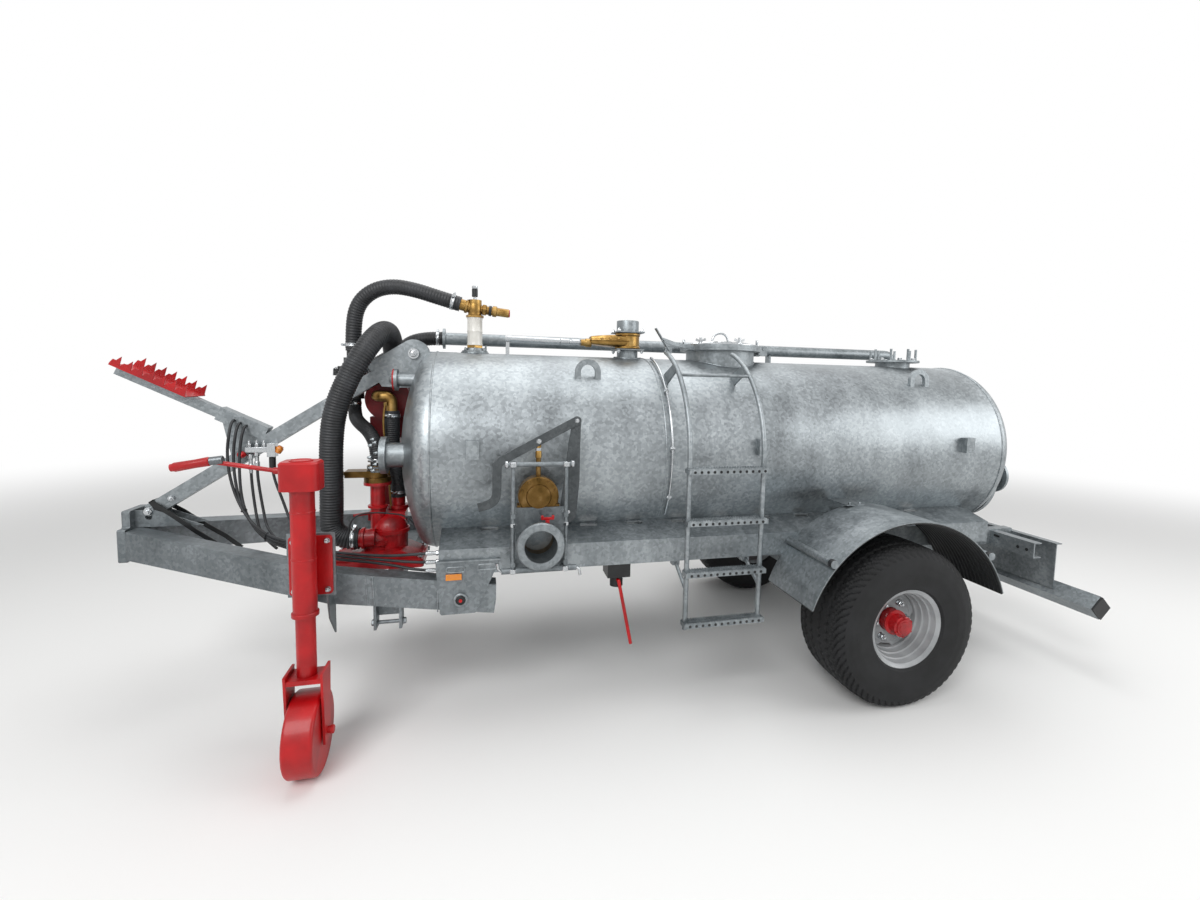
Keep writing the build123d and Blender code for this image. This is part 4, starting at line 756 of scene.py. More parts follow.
makePair("gussetTrim", gussetTrim, zinc)
makePair("gussetSocket", [gussetSocket], blackPlastic)
makePair("gussetReflector", [gussetReflector], amber, leftBevel=0.0012)
makePair("gussetPlug", [gussetPlug], redPaint)


# ---- jack details

jack = {"x": 2.862, "side": 0.818, "flange": 0.722, "flangeMiddle": 0.870, "top": 1.340,
        "mouth": 0.694, "upperRing": 1.222, "wheel": 0.172}


def onJack(z):
    return (jack["x"], jack["side"], z)


flangeBolts = []
for dx in (-0.066, 0.066):
    for dz in (-0.108, 0.108):
        place = (jack["x"] + dx, jack["flange"] + 0.010, jack["flangeMiddle"] + dz)
        flangeBolts.append(hexBolt(place, leftward, 0.019, 0.011, 0.008))
makePiece("jackBolts", flangeBolts, brightSteel)
axleEnds = [hexBolt((jack["x"] + way * 0.087, jack["side"], jack["wheel"]), (way, 0, 0), 0.030, 0.010)
            for way in (-1, 1)]
makePiece("jackAxleEnds", axleEnds, redPaint, "jack_wheel")
jackTrim = [turned([(0, 0.044), (0.004, 0.044), (0.005, 0.038), (0.002, 0.036), (0.002, 0.004)],
                   onJack(jack["top"] - 0.0005), upward, 40),
            closedTurn([(-0.006, 0.052), (0.008, 0.052), (0.012, 0.048), (0.012, 0.0462), (-0.006, 0.0462)],
                       onJack(jack["mouth"]), upward, 40),
            closedTurn([(-0.008, 0.050), (0.000, 0.050), (0.000, 0.0458), (-0.008, 0.0458)],
                       onJack(jack["upperRing"]), upward, 40)]
for z in (1.130, 0.930):
    jackTrim.append(closedTurn([(-0.004, 0.0468), (-0.002, 0.0478), (0.002, 0.0478), (0.004, 0.0468),
                                (0.004, 0.0455), (-0.004, 0.0455)], onJack(z), upward, 40))
makePiece("jackTrim", jackTrim, redPaint)
gripFrom, gripTo = np.array((3.180, 0.828, 1.344)), np.array((3.312, 0.828, 1.320))
makePiece("crankSleeve", [bar(gripFrom - (0.045, 0, -0.006), gripFrom, 0.0165, 20)], darkSteel)
crankGrip = turned([(0, 0.0155), (0.004, 0.0185), (0.050, 0.0170), (0.120, 0.0185), (0.130, 0.014)],
                   gripFrom, gripTo - gripFrom, 24)
makePiece("crankGrip", [crankGrip], redPaint)


# ---- side valve details

valveAt = {"x": 1.885, "z": 0.930, "face": 0.710, "mouth": 0.838, "gate": 1.135, "spindle": 1.262}
rodSide = 0.760
rodAt = (1.762, 2.008)

# the ring round the mouth stays open at both ends of its profile
ringPoints, ringFaces = turned([(-0.024, 0.086), (-0.024, 0.106), (-0.018, 0.111), (-0.006, 0.111),
                                (0.001, 0.106), (0.003, 0.094), (0.001, 0.0765), (-0.020, 0.0755)],
                               (valveAt["x"], valveAt["mouth"], valveAt["z"]), leftward, 72)
ringParts = [(ringPoints, ringFaces[:-2])]
for dx in (-0.115, 0.115):
    for dz in (-0.135, 0.135):
        place = (valveAt["x"] + dx, valveAt["face"], valveAt["z"] + dz)
        ringParts.append(hexBolt(place, leftward, 0.019, 0.012, 0.010))
makePiece("couplingRing", ringParts, zinc)
clampParts = []
for x in rodAt:
    for z in (1.300, 0.800):
        clampParts.append(turned([(-0.012, 0.016), (-0.010, 0.019), (0.010, 0.019), (0.012, 0.016)],
                                 (x, rodSide, z), upward, 16))
    clampParts.append(turned([(0, 0.008), (0.070, 0.008)], (x, rodSide, valveAt["z"]), upward, 12))
    clampParts.append(turned([(0, 0.0125), (0.014, 0.0125), (0.016, 0.010)], (x, rodSide, 1.008), upward, 6))
for x in (rodAt[0] - 0.029, rodAt[1] + 0.029):
    clampParts.append(turned([(-0.008, 0.013), (-0.004, 0.017), (0.004, 0.017), (0.008, 0.013)],
                             (x, rodSide, 1.300), forward, 16))
for hook in (((2.060, 0.800), (2.074, 0.812), (2.078, 0.840)),
             ((1.710, 0.800), (1.696, 0.790), (1.690, 0.760))):
    clampParts.append(carried([(x, rodSide, z) for x, z in hook], circleProfile(0.007)))
makePiece("clampLinks", clampParts, brightSteel)
spindle = turned([(0, 0.011), (0.090, 0.011), (0.091, 0.016), (0.104, 0.016), (0.106, 0.011)],
                 (valveAt["x"], 0.670, valveAt["spindle"]), upward, 20)
makePiece("valveSpindle", [spindle], brightSteel)
gateScrews = {"count": 5, "from": 20, "step": 35, "circle": 0.083}
gateParts = [turned([(0, 0.094), (0.004, 0.090), (0.004, 0.060), (0.010, 0.056), (0.010, 0.040)],
                    (valveAt["x"], 0.7005, valveAt["gate"]), leftward, 48)]
for i in range(gateScrews["count"]):
    a = math.radians(gateScrews["from"] + gateScrews["step"] * i)
    place = (valveAt["x"] + gateScrews["circle"] * math.cos(a), 0.703,
             valveAt["gate"] + gateScrews["circle"] * math.sin(a))
    gateParts.append(hexBolt(place, leftward, 0.012, 0.007))
makePiece("gateCover", gateParts, brassDullShaded)
tapX, tapSide = valveAt["x"] - 0.035, 0.775
bleedTap = [turned([(0, 0.010), (0.022, 0.010), (0.024, 0.006)], (tapX, tapSide, 1.016), upward, 16),
            slab((tapX, tapSide, 1.046), (0.060, 0.010, 0.012)),
            slab((tapX - 0.025, tapSide, 1.054), (0.012, 0.010, 0.014)),
            slab((tapX + 0.025, tapSide, 1.054), (0.012, 0.010, 0.014))]
makePiece("bleedTap", bleedTap, redPaint, bevel=0.002)
print("front and side details made")


# ---- tank seams and top fittings

tankSettings = {"radius": 0.552, "axis": 1.282, "front": 2.394, "rear": -1.049, "middle": 1.197}


def seamRing(x, height, thick):
    # weld bead round the tank, its middle that far above the sheet
    radius = tankSettings["radius"] + height
    a = np.linspace(0, tau, 241)
    path = np.stack([np.full_like(a, x), radius * np.sin(a), tankSettings["axis"] + radius * np.cos(a)], 1)
    return bead(path, thick, 0.0009)


def collarWeld(x, radius):
    # bead where an upright pipe meets the round tank
    a = np.linspace(0, tau, 73)
    px, py = x + radius * np.cos(a), radius * np.sin(a)
    pz = tankSettings["axis"] + np.sqrt(tankSettings["radius"] ** 2 - py ** 2) + 0.002
    return bead(np.stack([px, py, pz], 1), 0.0045)


seams = [seamRing(tankSettings["front"], 0.0005, 0.0042), seamRing(tankSettings["rear"], 0.0005, 0.0042),
         seamRing(tankSettings["middle"], 0.0002, 0.0030)]
makePiece("tankSeams", seams, zincTankLit)

lidAt = {"x": 0.665, "z": 1.905, "ribs": 10, "screws": 6}
glassAt = {"x": 2.191, "foot": 1.832, "top": 2.035, "tall": 0.156, "radius": 0.044, "flutes": 18}
topAt = np.array((1.282, 0, 1.834))
collars = [collarWeld(lidAt["x"], 0.216), collarWeld(glassAt["x"], 0.073), collarWeld(topAt[0], 0.081)]
makePiece("collarWelds", collars, zinc)


# ---- manhole lid

lidMiddle = (lidAt["x"], 0, lidAt["z"])
lidRibs = []
for i in range(lidAt["ribs"]):
    a = tau * (i + 0.5) / lidAt["ribs"]
    out = np.array((math.cos(a), math.sin(a), 0))
    crest = [out * r + (lidAt["x"], 0, z) for r, z in ((0.060, 1.951), (0.150, 1.9465), (0.236, 1.929))]
    lidRibs.append(carried(crest, [(-0.004, -0.006), (0.004, -0.006), (0.0025, 0.005), (-0.0025, 0.005)]))
lidRibs += [turned([(0.0225, 0.2495), (0.027, 0.2495), (0.028, 0.244), (0.024, 0.238)],
                   lidMiddle, upward, 96),
            turned([(0.044, 0.062), (0.050, 0.060), (0.051, 0.052), (0.046, 0.050)], lidMiddle, upward, 48)]
a = np.linspace(0, math.pi, 25)
handle = np.stack([lidAt["x"] + 0.055 * np.cos(a), 0 * a, 1.950 + 0.062 * np.sin(a) ** 0.8], 1)
lidTop = [carried(handle, circleProfile(0.007, 12))]
for i in range(lidAt["screws"]):
    a = tau * (i + 0.5) / lidAt["screws"] + 0.1
    out = np.array((math.cos(a), math.sin(a), 0))
    place = out * 0.232 + (lidAt["x"], 0, 1.928)
    lidTop.append(turned([(0, 0.017), (0.010, 0.016), (0.012, 0.009), (0.040, 0.009), (0.042, 0.006)],
                         place, upward, 16))
    wing, raised = np.cross(out, upward) * 0.034, (0, 0, 0.030)
    lidTop.append(carried([place + wing + raised, place + (0, 0, 0.016), place - wing + raised],
                          flatProfile(0.006, 0.014)))
makePiece("lidRibs", lidRibs, brightSteel, "manhole_lid", angle=30)
makePiece("lidHandleAndScrews", lidTop, brightSteel, "manhole_lid")
gasket = turned([(-0.0015, 0.238), (-0.0015, 0.2545), (0.0005, 0.2545), (0.0005, 0.238)],
                lidMiddle, upward, 72)
makePiece("manholeGasket", [gasket], blackPlastic)


# ---- sight glass: zinc foot, brass rings, a fluted pale cylinder; the brass tee over it with gauge and vent

glassFoot = np.array((glassAt["x"], 0, glassAt["foot"]))
footParts = [turned([(0, 0.072), (0.014, 0.072), (0.016, 0.069), (0.016, 0.052), (0.030, 0.050),
                     (0.031, 0.044)], glassFoot, upward, 56),
             nutRing(glassFoot + (0, 0, 0.015), upward, 0.0605, 6, 0.013, 0.008)]
foot = makePiece("sightFoot", footParts, zinc)
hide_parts("sight_glass")


def flutedGlass(s, sides=180):
    # radius by level, and less by up to 1.8 % between the flutes
    angle = np.linspace(0, tau, sides, endpoint=False)
    levels = np.array((0, 0.006, 0.012, 0.072, 0.078, 0.084, 0.142, 0.150, 0.156))[:, None]
    swell = np.array((1, 1, 0.955, 0.955, 1, 0.955, 0.955, 1, 1))[:, None]
    radius = s["radius"] * swell * (1 - 0.018 * (0.5 + 0.5 * np.cos(angle * s["flutes"])))[None]
    z = s["top"] - s["tall"] + levels + 0 * radius
    points = np.stack([s["x"] + radius * np.cos(angle), radius * np.sin(angle), z], -1)
    return points.reshape(-1, 3), tubeFaces(len(levels), sides)


makePiece("sightGlass", [flutedGlass(glassAt)], whitePlastic)
teeAt = np.array((glassAt["x"], 0, 2.087))
hoseWay, ventWay = (0.967, 0, 0.254), (-0.995, 0, -0.094)
teeParts = [turned([(0, 0.048), (0.013, 0.048), (0.014, 0.045)], (glassAt["x"], 0, 1.864), upward, 6),
            turned([(0, 0.049), (0.012, 0.049), (0.014, 0.046)], (glassAt["x"], 0, 2.036), upward, 8),
            turned([(-0.034, 0.036), (-0.010, 0.041), (0.010, 0.041), (0.034, 0.036)], teeAt, upward, 36),
            turned([(0.036, 0.033), (0.040, 0.039), (0.052, 0.039), (0.055, 0.034)], teeAt, hoseWay, 8),
            turned([(0.040, 0.026), (0.044, 0.033), (0.062, 0.033), (0.066, 0.027)], teeAt, ventWay, 6),
            turned([(0.098, 0.0245), (0.100, 0.031), (0.120, 0.031), (0.124, 0.026)], teeAt, ventWay, 36)]
makePiece("teeRings", teeParts, brass)
ventSeal = turned([(0.078, 0.0275), (0.079, 0.0295), (0.093, 0.0295), (0.094, 0.0275)], teeAt, ventWay, 36)
makePiece("ventSeal", [ventSeal], blackPlastic)
ventEnd = teeAt + np.array(ventWay) * 0.1905
a = np.linspace(0, tau, 33)
ventRing = np.stack([ventEnd[0] - 0.002 + 0 * a, 0.017 * np.cos(a), ventEnd[2] + 0.017 * np.sin(a)], 1)
makePiece("ventCap", [carried(ventRing, circleProfile(0.0055, 10))], redPaint)
gaugeAt = (glassAt["x"], 0, 2.135)
gaugeBody = turned([(0.019, 0.014), (0.021, 0.0165), (0.062, 0.0165), (0.064, 0.013)], gaugeAt, upward, 24)
makePiece("gaugeBody", [gaugeBody], blackPlastic)
gaugeStem = [turned([(0, 0.010), (0.012, 0.010), (0.014, 0.006), (0.020, 0.006)], gaugeAt, upward, 16),
             turned([(0.064, 0.0155), (0.066, 0.0165), (0.078, 0.0165), (0.080, 0.013)], gaugeAt, upward, 24)]
makePiece("gaugeStem", gaugeStem, brightSteel)


# ---- nuts and bolts of the rear flange, the front stubs, the ears and the stay's foot

studNuts = nutRing((-0.654, 0, 1.876), upward, 0.142, 8, 0.024, 0.013, tau / 16, 0.0)
makePiece("studNuts", [studNuts], brightSteel)
bigStub, smallStub = (2.684, 0.280, 1.285), (2.600, 0.160, 1.673)
stubNuts = [nutRing(bigStub, forward, 0.081, 8, 0.017, 0.010),
            nutRing(smallStub, forward, 0.047, 4, 0.015, 0.009, math.pi / 4)]
makePiece("stubNuts", stubNuts, zinc)
stubBlank = turned([(0.0005, 0.057), (0.008, 0.057), (0.009, 0.055)], smallStub, forward, 40)
makePiece("stubBlank", [stubBlank], redPaint)
stubDome = turned([(0.009, 0.026), (0.016, 0.025), (0.026, 0.018), (0.031, 0.006)], smallStub, forward, 24)
makePiece("stubDome", [stubDome], zinc)
earParts = [hexBolt((2.517, 0.062, 1.819), leftward, 0.036, 0.018, 0.010),
            turned([(0, 0.030), (0.006, 0.029)], (2.517, 0.060, 1.819), leftward, 32)]
makePiece("earBolts", earParts + [flipped(part) for part in earParts], brightSteel)
footBolts = [hexBolt((3.800, 0.037, 0.975), leftward, 0.036, 0.016, 0.010),
             hexBolt((3.700, 0.037, 1.040), leftward, 0.024, 0.012, 0.006)]
makePiece("strutBolts", footBolts + [flipped(part) for part in footBolts], brightSteel)
print("tank details made")


# ---- ladder treads

treadAt = {"front": 1.159, "rear": 0.717, "side": 0.765, "half": 0.031, "top": 1.264, "pitch": 0.2625,
           "count": 4, "teeth": 30, "holes": 12, "holePitch": 0.0347, "holesFrom": 0.030,
           "strips": (-0.0285, 0.0, 0.0285), "holeRows": (-0.0145, 0.0145)}


def treadStrip(y, z, s):
    # upright strip whose upper edge is cut into teeth
    count = s["teeth"] * 2 + 1
    x = np.linspace(s["rear"] + 0.004, s["front"] - 0.004, count)
    up = z + np.where(np.arange(count) % 2, 0.0075, 0.0005)
    near = np.stack([x, np.full_like(x, y + 0.0016), up], 1)
    far = near - (0, 0.0032, 0)
    lowNear, lowFar = near.copy(), far.copy()
    lowNear[:, 2] = lowFar[:, 2] = z - 0.006
    ring = np.stack([near, far, lowFar, lowNear], 1)
    return ring.reshape(-1, 3), insideOut(tubeFaces(count, 4))


treads, holes = [], []
for i in range(treadAt["count"]):
    z = treadAt["top"] - i * treadAt["pitch"]
    for dy in treadAt["strips"]:
        treads.append(treadStrip(treadAt["side"] + dy, z, treadAt))
    for k in range(treadAt["holes"]):
        x = treadAt["rear"] + treadAt["holesFrom"] + k * treadAt["holePitch"]
        for y in (treadAt["side"] + dy for dy in treadAt["holeRows"]):
            # a thin black disc in each hole: painted shade where the hole is open
            holes.append(turned([(0, 0.0098), (0.0012, 0.0098)], (x, y, z - 0.0002), upward, 12))
            treads.append(turned([(0, 0.0125), (0.0022, 0.0118), (0.0022, 0.0098)], (x, y, z - 0.0008),
                                 upward, 12))
        # a black disc on the upright edge too: painted shade for an open hole
        front = (x, treadAt["side"] + treadAt["half"] - 0.0002, z - 0.013)
        holes.append(turned([(0, 0.0075), (0.0010, 0.0075)], front, leftward, 12))
makePiece("treadTeeth", treads, zinc, smooth=False)
makePiece("treadHoles", holes, blackPlastic, smooth=False)


# ---- mudguards

guardAt = {"x": 0.020, "z": 0.406, "radius": 0.609, "inner": 0.622, "outer": 1.036, "from": 19, "to": 161,
           "ribs": 0.026, "ribDepth": 0.0035}


def onGuard(radius, angle, y):
    # points at an angle round the guard's middle
    return np.stack([guardAt["x"] + radius * np.cos(angle), y + 0 * angle,
                     guardAt["z"] + radius * np.sin(angle)], -1)


def guardLiner(s, rows=90, columns=121):
    # ribbed rubber sheet under the guard: radius falls by half a rib's depth * (1 - cos) across the width
    a = np.radians(np.linspace(s["from"] + 0.6, s["to"] - 0.6, rows))[:, None]
    y = np.linspace(s["inner"] + 0.010, s["outer"] - 0.004, columns)[None]
    ripple = s["ribDepth"] * (0.5 - 0.5 * np.cos(tau * y / s["ribs"]))
    top = onGuard(s["radius"] - 0.0045 + 0 * y, a, y)
    bottom = onGuard(s["radius"] - 0.0075 - ripple, a, y)
    ring = np.concatenate([top, bottom[:, ::-1]], 1)
    return ring.reshape(-1, 3), insideOut(tubeFaces(rows, 2 * columns))


edgeRadius = guardAt["radius"] - 0.002
edges = []
for y in (guardAt["outer"] - 0.002, guardAt["inner"] + 0.006):
    a = np.radians(np.linspace(guardAt["from"], guardAt["to"], 60))
    edges.append(carried(onGuard(edgeRadius, a, y), circleProfile(0.0055, 10)))
for end in ("from", "to"):
    a = math.radians(guardAt[end])
    edges.append(bar(onGuard(edgeRadius, a, guardAt["inner"] + 0.004),
                     onGuard(edgeRadius, a, guardAt["outer"] - 0.001), 0.0055))
slots = []
for degrees in (guardAt["to"] - 3.2, guardAt["to"] - 5.1, guardAt["from"] + 3.2, guardAt["from"] + 5.1):
    for y in (0.70, 0.79, 0.88, 0.97):
        place = onGuard(guardAt["radius"] - 0.0005, math.radians(degrees), y)
        slots.append(carried([place - (0, 0.028, 0), place + (0, 0.028, 0)], circleProfile(0.0045, 8)))
guardSheets = (("guardLiner", [guardLiner(guardAt)]), ("guardEdge", edges), ("guardSlots", slots))
for side, turn in bothSides:
    for name, parts in guardSheets:
        makePiece(name + side.title(), [turn(part) for part in parts], blackPlastic)
print("ladder and guards made")


# ---- rims

rimSettings = {
    "seat": [(-0.165, 0.2135), (-0.160, 0.2145), (-0.152, 0.1965), (0.152, 0.1965), (0.160, 0.2145),
             (0.165, 0.2135)],
    "steps": [(0.1655, 0.2080), (0.156, 0.1960), (0.153, 0.1900), (0.132, 0.1885), (0.122, 0.1840),
              (0.118, 0.1775), (0.094, 0.1755), (0.086, 0.1715), (0.082, 0.1655), (0.060, 0.1640),
              (0.052, 0.1600), (0.048, 0.1545), (0.020, 0.1530), (-0.060, 0.1530), (-0.120, 0.1880),
              (-0.150, 0.1905), (-0.1655, 0.2080)],
    "edge": [(0.027, 1), (0.035, 1)],
    "face": [(0.035, 0.136), (0.0385, 0.133), (0.0385, 0.127), (0.035, 0.124), (0.035, 0.0655),
             (0.027, 0.0655)],
    "edgeRadius": 0.1525, "openings": 4, "bite": 0.016,
}


def rimDisc(s, sides=144):
    # disc whose edge draws in at each opening: edge - bite * the part of cos(openings * angle) above 0.35
    angle = np.linspace(0, tau, sides, endpoint=False)[:, None]
    draw = np.clip((np.cos(s["openings"] * angle + 0.6) - 0.35) / 0.65 * 2, 0, 1) * s["bite"]
    edgeAlong, share = np.array(s["edge"], float).T
    faceAlong, faceRadius = np.array(s["face"], float).T
    along = np.concatenate([edgeAlong, faceAlong])[None] + 0 * angle
    radius = np.concatenate([share * (s["edgeRadius"] - draw), faceRadius + 0 * angle], 1)
    points = np.stack([radius * np.sin(angle), along, radius * np.cos(angle)], -1)
    faces = gridFaces(sides, along.shape[1], loopRows=True, loopColumns=True).tolist()
    return points.reshape(-1, 3) + wheelMiddle, insideOut(faces)


rimParts = [closedTurn(rimSettings["seat"] + rimSettings["steps"], wheelMiddle, leftward),
            rimDisc(rimSettings)]
for side, turn in bothSides:
    rim = makePiece("wheelRim_" + side, [turn(part) for part in rimParts], wheelSilver, "wheel_" + side,
                    angle=28)
    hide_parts("rim_" + side)
print("rims made")


# ---- top valve: brass slide housing between two zinc plates, with a zinc collar above


def lofted(rows, sides=32, power=0.4):
    # body through rows of (x, half width, half height): circles squared off by a power of cosine and sine
    angle = np.linspace(0, tau, sides, endpoint=False)
    c, n = np.cos(angle), np.sin(angle)
    y = np.sign(c) * np.abs(c) ** power
    z = np.sign(n) * np.abs(n) ** power
    points = np.array([np.stack([np.full(sides, x), w * y, h * z], 1) for x, w, h in rows])
    return points.reshape(-1, 3), tubeFaces(len(rows), sides)


housing = lofted([(0.0, 0.070, 0.036), (0.060, 0.072, 0.037), (0.120, 0.068, 0.035), (0.195, 0.048, 0.029),
                  (0.232, 0.036, 0.024), (0.236, 0.030, 0.020)])
ledge = lofted([(0.010, 0.084, 0.005), (0.060, 0.088, 0.005), (0.120, 0.084, 0.005), (0.195, 0.062, 0.005),
                (0.232, 0.048, 0.005), (0.240, 0.038, 0.005)])
slideAt, cylinderAt = topAt + (0, 0, 0.101), topAt + (0, 0, 0.085)
brassParts = [(housing[0] + slideAt, housing[1]),
              turned([(0.053, 0.070), (0.057, 0.078), (0.067, 0.078), (0.073, 0.073), (0.131, 0.073),
                      (0.137, 0.078), (0.147, 0.078), (0.150, 0.070)], topAt, upward, 56),
              turned([(0.228, 0.026), (0.262, 0.026), (0.266, 0.021), (0.292, 0.019)],
                     cylinderAt, forward, 24),
              turned([(0.1585, 0.0608), (0.164, 0.0608)], topAt, upward, 40),
              (ledge[0] + slideAt, ledge[1])]
for x, y in ((0.075, 0.080), (0.125, 0.076), (0.175, 0.062)):
    for way in (-1, 1):
        brassParts.append(hexBolt(topAt + (x, way * y, 0.106), upward, 0.013, 0.008))
valveBrass = makePiece("topValveBody", brassParts, brass, bevel=0.002)
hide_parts("top_valve")
plates = [slab(topAt + (0, 0, 0.049), (0.172, 0.172, 0.008)),
          slab(topAt + (0, 0, 0.1545), (0.172, 0.172, 0.009)),
          turned([(-0.012, 0.064), (0.046, 0.064)], topAt, upward, 48),
          closedTurn([(0.159, 0.068), (0.222, 0.068), (0.2255, 0.0665), (0.2255, 0.0625), (0.222, 0.061),
                      (0.159, 0.061)], topAt, upward, 64)]
makePiece("topValvePlates", plates, zinc, bevel=0.0015)
valveBolts = [hexBolt(topAt + (x * 0.072, y * 0.072, z), (0, 0, way), 0.017, 0.010, 0.005)
              for x in (-1, 1) for y in (-1, 1) for z, way in ((0.159, 1), (0.045, -1))]
valveBolts.append(turned([(0.296, 0.013), (0.300, 0.018), (0.345, 0.018), (0.349, 0.015), (0.360, 0.015),
                          (0.364, 0.020), (0.400, 0.020), (0.404, 0.0215), (0.416, 0.0215)], cylinderAt,
                          forward, 28))
makePiece("topValveBolts", valveBolts, brightSteel)

# hydraulic line: a steel pipe from the cylinder's side down round the tank, with its union and clamps
linePipe = {"x": 1.168, "radius": 0.566, "from": 16, "to": 124, "pipe": 0.006, "clamps": (50, 84, 112)}
a = np.radians(np.linspace(linePipe["from"], linePipe["to"], 60))
pipePath = np.stack([np.full_like(a, linePipe["x"]), linePipe["radius"] * np.sin(a),
                     tankSettings["axis"] + linePipe["radius"] * np.cos(a)], 1)
pipeParts = [carried(pipePath, circleProfile(linePipe["pipe"], 12)),
             turned([(-0.004, 0.010), (0.022, 0.010), (0.024, 0.0075)], pipePath[0],
                    pipePath[0] - pipePath[2], 6)]
for degrees in linePipe["clamps"]:
    a = math.radians(degrees)
    out = np.array((0, math.sin(a), math.cos(a)))
    place = out * linePipe["radius"] + (linePipe["x"], 0, tankSettings["axis"])
    pipeParts.append(turned([(-0.013, 0.012), (0.013, 0.012)], place - out * 0.002, forward, 6))
    pipeParts.append(hexBolt(place + out * 0.009, out, 0.010, 0.006))
makePiece("tankPipe", pipeParts, brightSteel, bevel=0.001)

# flat grab bar at the ladder's head, tied to the manhole's flange
grabParts = [carried([(1.207, 0.330, 1.992), (1.126, 0.330, 1.871)], flatProfile(0.030, 0.006)),
             carried([(1.160, 0.322, 1.930), (1.080, 0.270, 1.915), (0.905, 0.152, 1.901)],
                     flatProfile(0.008, 0.024)),
             slab((1.128, 0.331, 1.872), (0.040, 0.010, 0.034)),
             hexBolt((1.160, 0.333, 1.925), leftward, 0.015, 0.009)]
makePiece("grabBar", grabParts, zinc, bevel=0.001)


# ---- side lever: wide flat bar, its link plate and the pinned eye of the spindle

leverAt = {"near": 0.682, "thick": 0.009, "width": 0.042, "pivot": (1.702, 1.497), "link": (1.740, 1.036)}


def flatStrip(path, widths, near, thick):
    # flat bar in a plane of constant y: the path's points pushed out to both sides by half the width there
    path, widths = np.asarray(path, float), np.asarray(widths, float)
    ahead = np.gradient(path, axis=0)
    ahead /= np.linalg.norm(ahead, axis=1)[:, None]
    normal = np.stack([-ahead[:, 1], ahead[:, 0]], 1) * widths[:, None] / 2
    low, high, far = path - normal, path + normal, near - thick
    rows = [np.stack([edge[:, 0], np.full(len(path), y), edge[:, 1]], 1)
            for edge, y in ((low, near), (high, near), (high, far), (low, far))]
    return np.stack(rows, 1).reshape(-1, 3), tubeFaces(len(path), 4)


def onLever(point, depth=0.0):
    return (point[0], leverAt["near"] - depth, point[1])


leverRoute = smoothRoute([(1.702, 0, 1.497), (1.884, 0, 1.400), (2.030, 0, 1.322), (2.076, 0, 1.297),
                          (2.079, 0, 1.250), (2.079, 0, 1.180), (2.082, 0, 1.125), (2.112, 0, 1.098),
                          (2.165, 0, 1.086)])[:, [0, 2]]
linkRoute = (leverAt["pivot"], (1.712, 1.380), (1.722, 1.200), leverAt["link"])
leverParts = [flatStrip(leverRoute, np.full(len(leverRoute), leverAt["width"]), leverAt["near"],
                        leverAt["thick"]),
              flatStrip(linkRoute, (0.044, 0.058, 0.076, 0.084), leverAt["near"] - 0.010, leverAt["thick"]),
              turned([(0, 0.0215), (0.010, 0.0215)], onLever(leverAt["pivot"], 0.0095), leftward, 28),
              turned([(0, 0.0415), (0.010, 0.0415)], onLever(leverAt["link"], 0.0195), leftward, 32)]
# the lever bar takes the darkest zinc copy: painted shade on its upright face
sideLever = makePiece("sideLeverBar", leverParts, zincDullDeepShade, bevel=0.001)
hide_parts("side_lever")
pins = [hexBolt(onLever(leverAt["pivot"]), leftward, 0.018, 0.010, 0.004),
        hexBolt(onLever((1.884, 1.398)), leftward, 0.020, 0.010, 0.006),
        turned([(-0.050, 0.009), (0.000, 0.009)], onLever((1.740, 1.050)), leftward, 16)]
makePiece("leverPins", pins, brightSteel)
eyeParts = [turned([(0, 0.0155), (0.030, 0.0150), (0.034, 0.0125), (0.058, 0.0120)],
                   (valveAt["x"], 0.670, 1.318), upward, 20),
            slab((valveAt["x"], 0.666, 1.392), (0.026, 0.010, 0.044))]
makePiece("spindleEye", eyeParts, brass, bevel=0.002)


# ---- valves and hoses where the arm leaves the stay

fittingSide = 0.062
fittings = [slab((3.293, 0.056, 1.292), (0.105, 0.043, 0.028)),
            slab((3.224, 0.058, 1.290), (0.040, 0.046, 0.072))]
for x, low in ((3.325, 1.168), (3.296, 1.182)):
    fittings.append(turned([(0, 0.009), (0.018, 0.009), (0.019, 0.013), (0.046, 0.013), (0.048, 0.010),
                            (0.075, 0.010), (0.077, 0.0145), (0.100, 0.0145)], (x, fittingSide, low), upward,
                            18))
for x in (3.262, 3.296, 3.330):
    fittings.append(turned([(0, 0.012), (0.016, 0.012), (0.018, 0.007), (0.034, 0.007)],
                           (x, fittingSide, 1.306), upward, 6))
makePiece("stayFittings", fittings, brightSteel, bevel=0.0015)
stayCock = turned([(0, 0.010), (0.004, 0.016), (0.060, 0.016), (0.064, 0.010)], (3.224, fittingSide, 1.190),
                  upward, 20)
makePiece("stayCock", [stayCock], blackPlastic)
couplingCap = turned([(0, 0.017), (0.026, 0.019), (0.030, 0.014), (0.036, 0.014), (0.038, 0.008)],
                     (3.200, fittingSide, 1.276), (-0.5, 0, 0.86), 24)
makePiece("couplingCap", [couplingCap], amber)
redKnob = turned([(0, 0.006), (0.014, 0.007), (0.018, 0.016), (0.030, 0.019), (0.042, 0.015), (0.046, 0.004)],
                 (3.352, 0.050, 1.262), (0.3, 0.9, 0.2), 24)
makePiece("redKnob", [redKnob], redPaint)
couplingRoutes = [
    [(3.325, fittingSide, 1.172), (3.325, fittingSide, 1.120), (3.300, 0.090, 0.960), (3.258, 0.150, 0.850),
     (3.160, 0.230, 0.806)],
    [(3.296, fittingSide, 1.186), (3.296, fittingSide, 1.140), (3.272, 0.075, 0.980), (3.232, 0.130, 0.860),
     (3.130, 0.215, 0.812)],
    [(3.224, fittingSide, 1.194), (3.224, fittingSide, 1.150), (3.176, 0.070, 1.010), (3.130, 0.110, 0.900),
     (3.020, 0.190, 0.830)]]
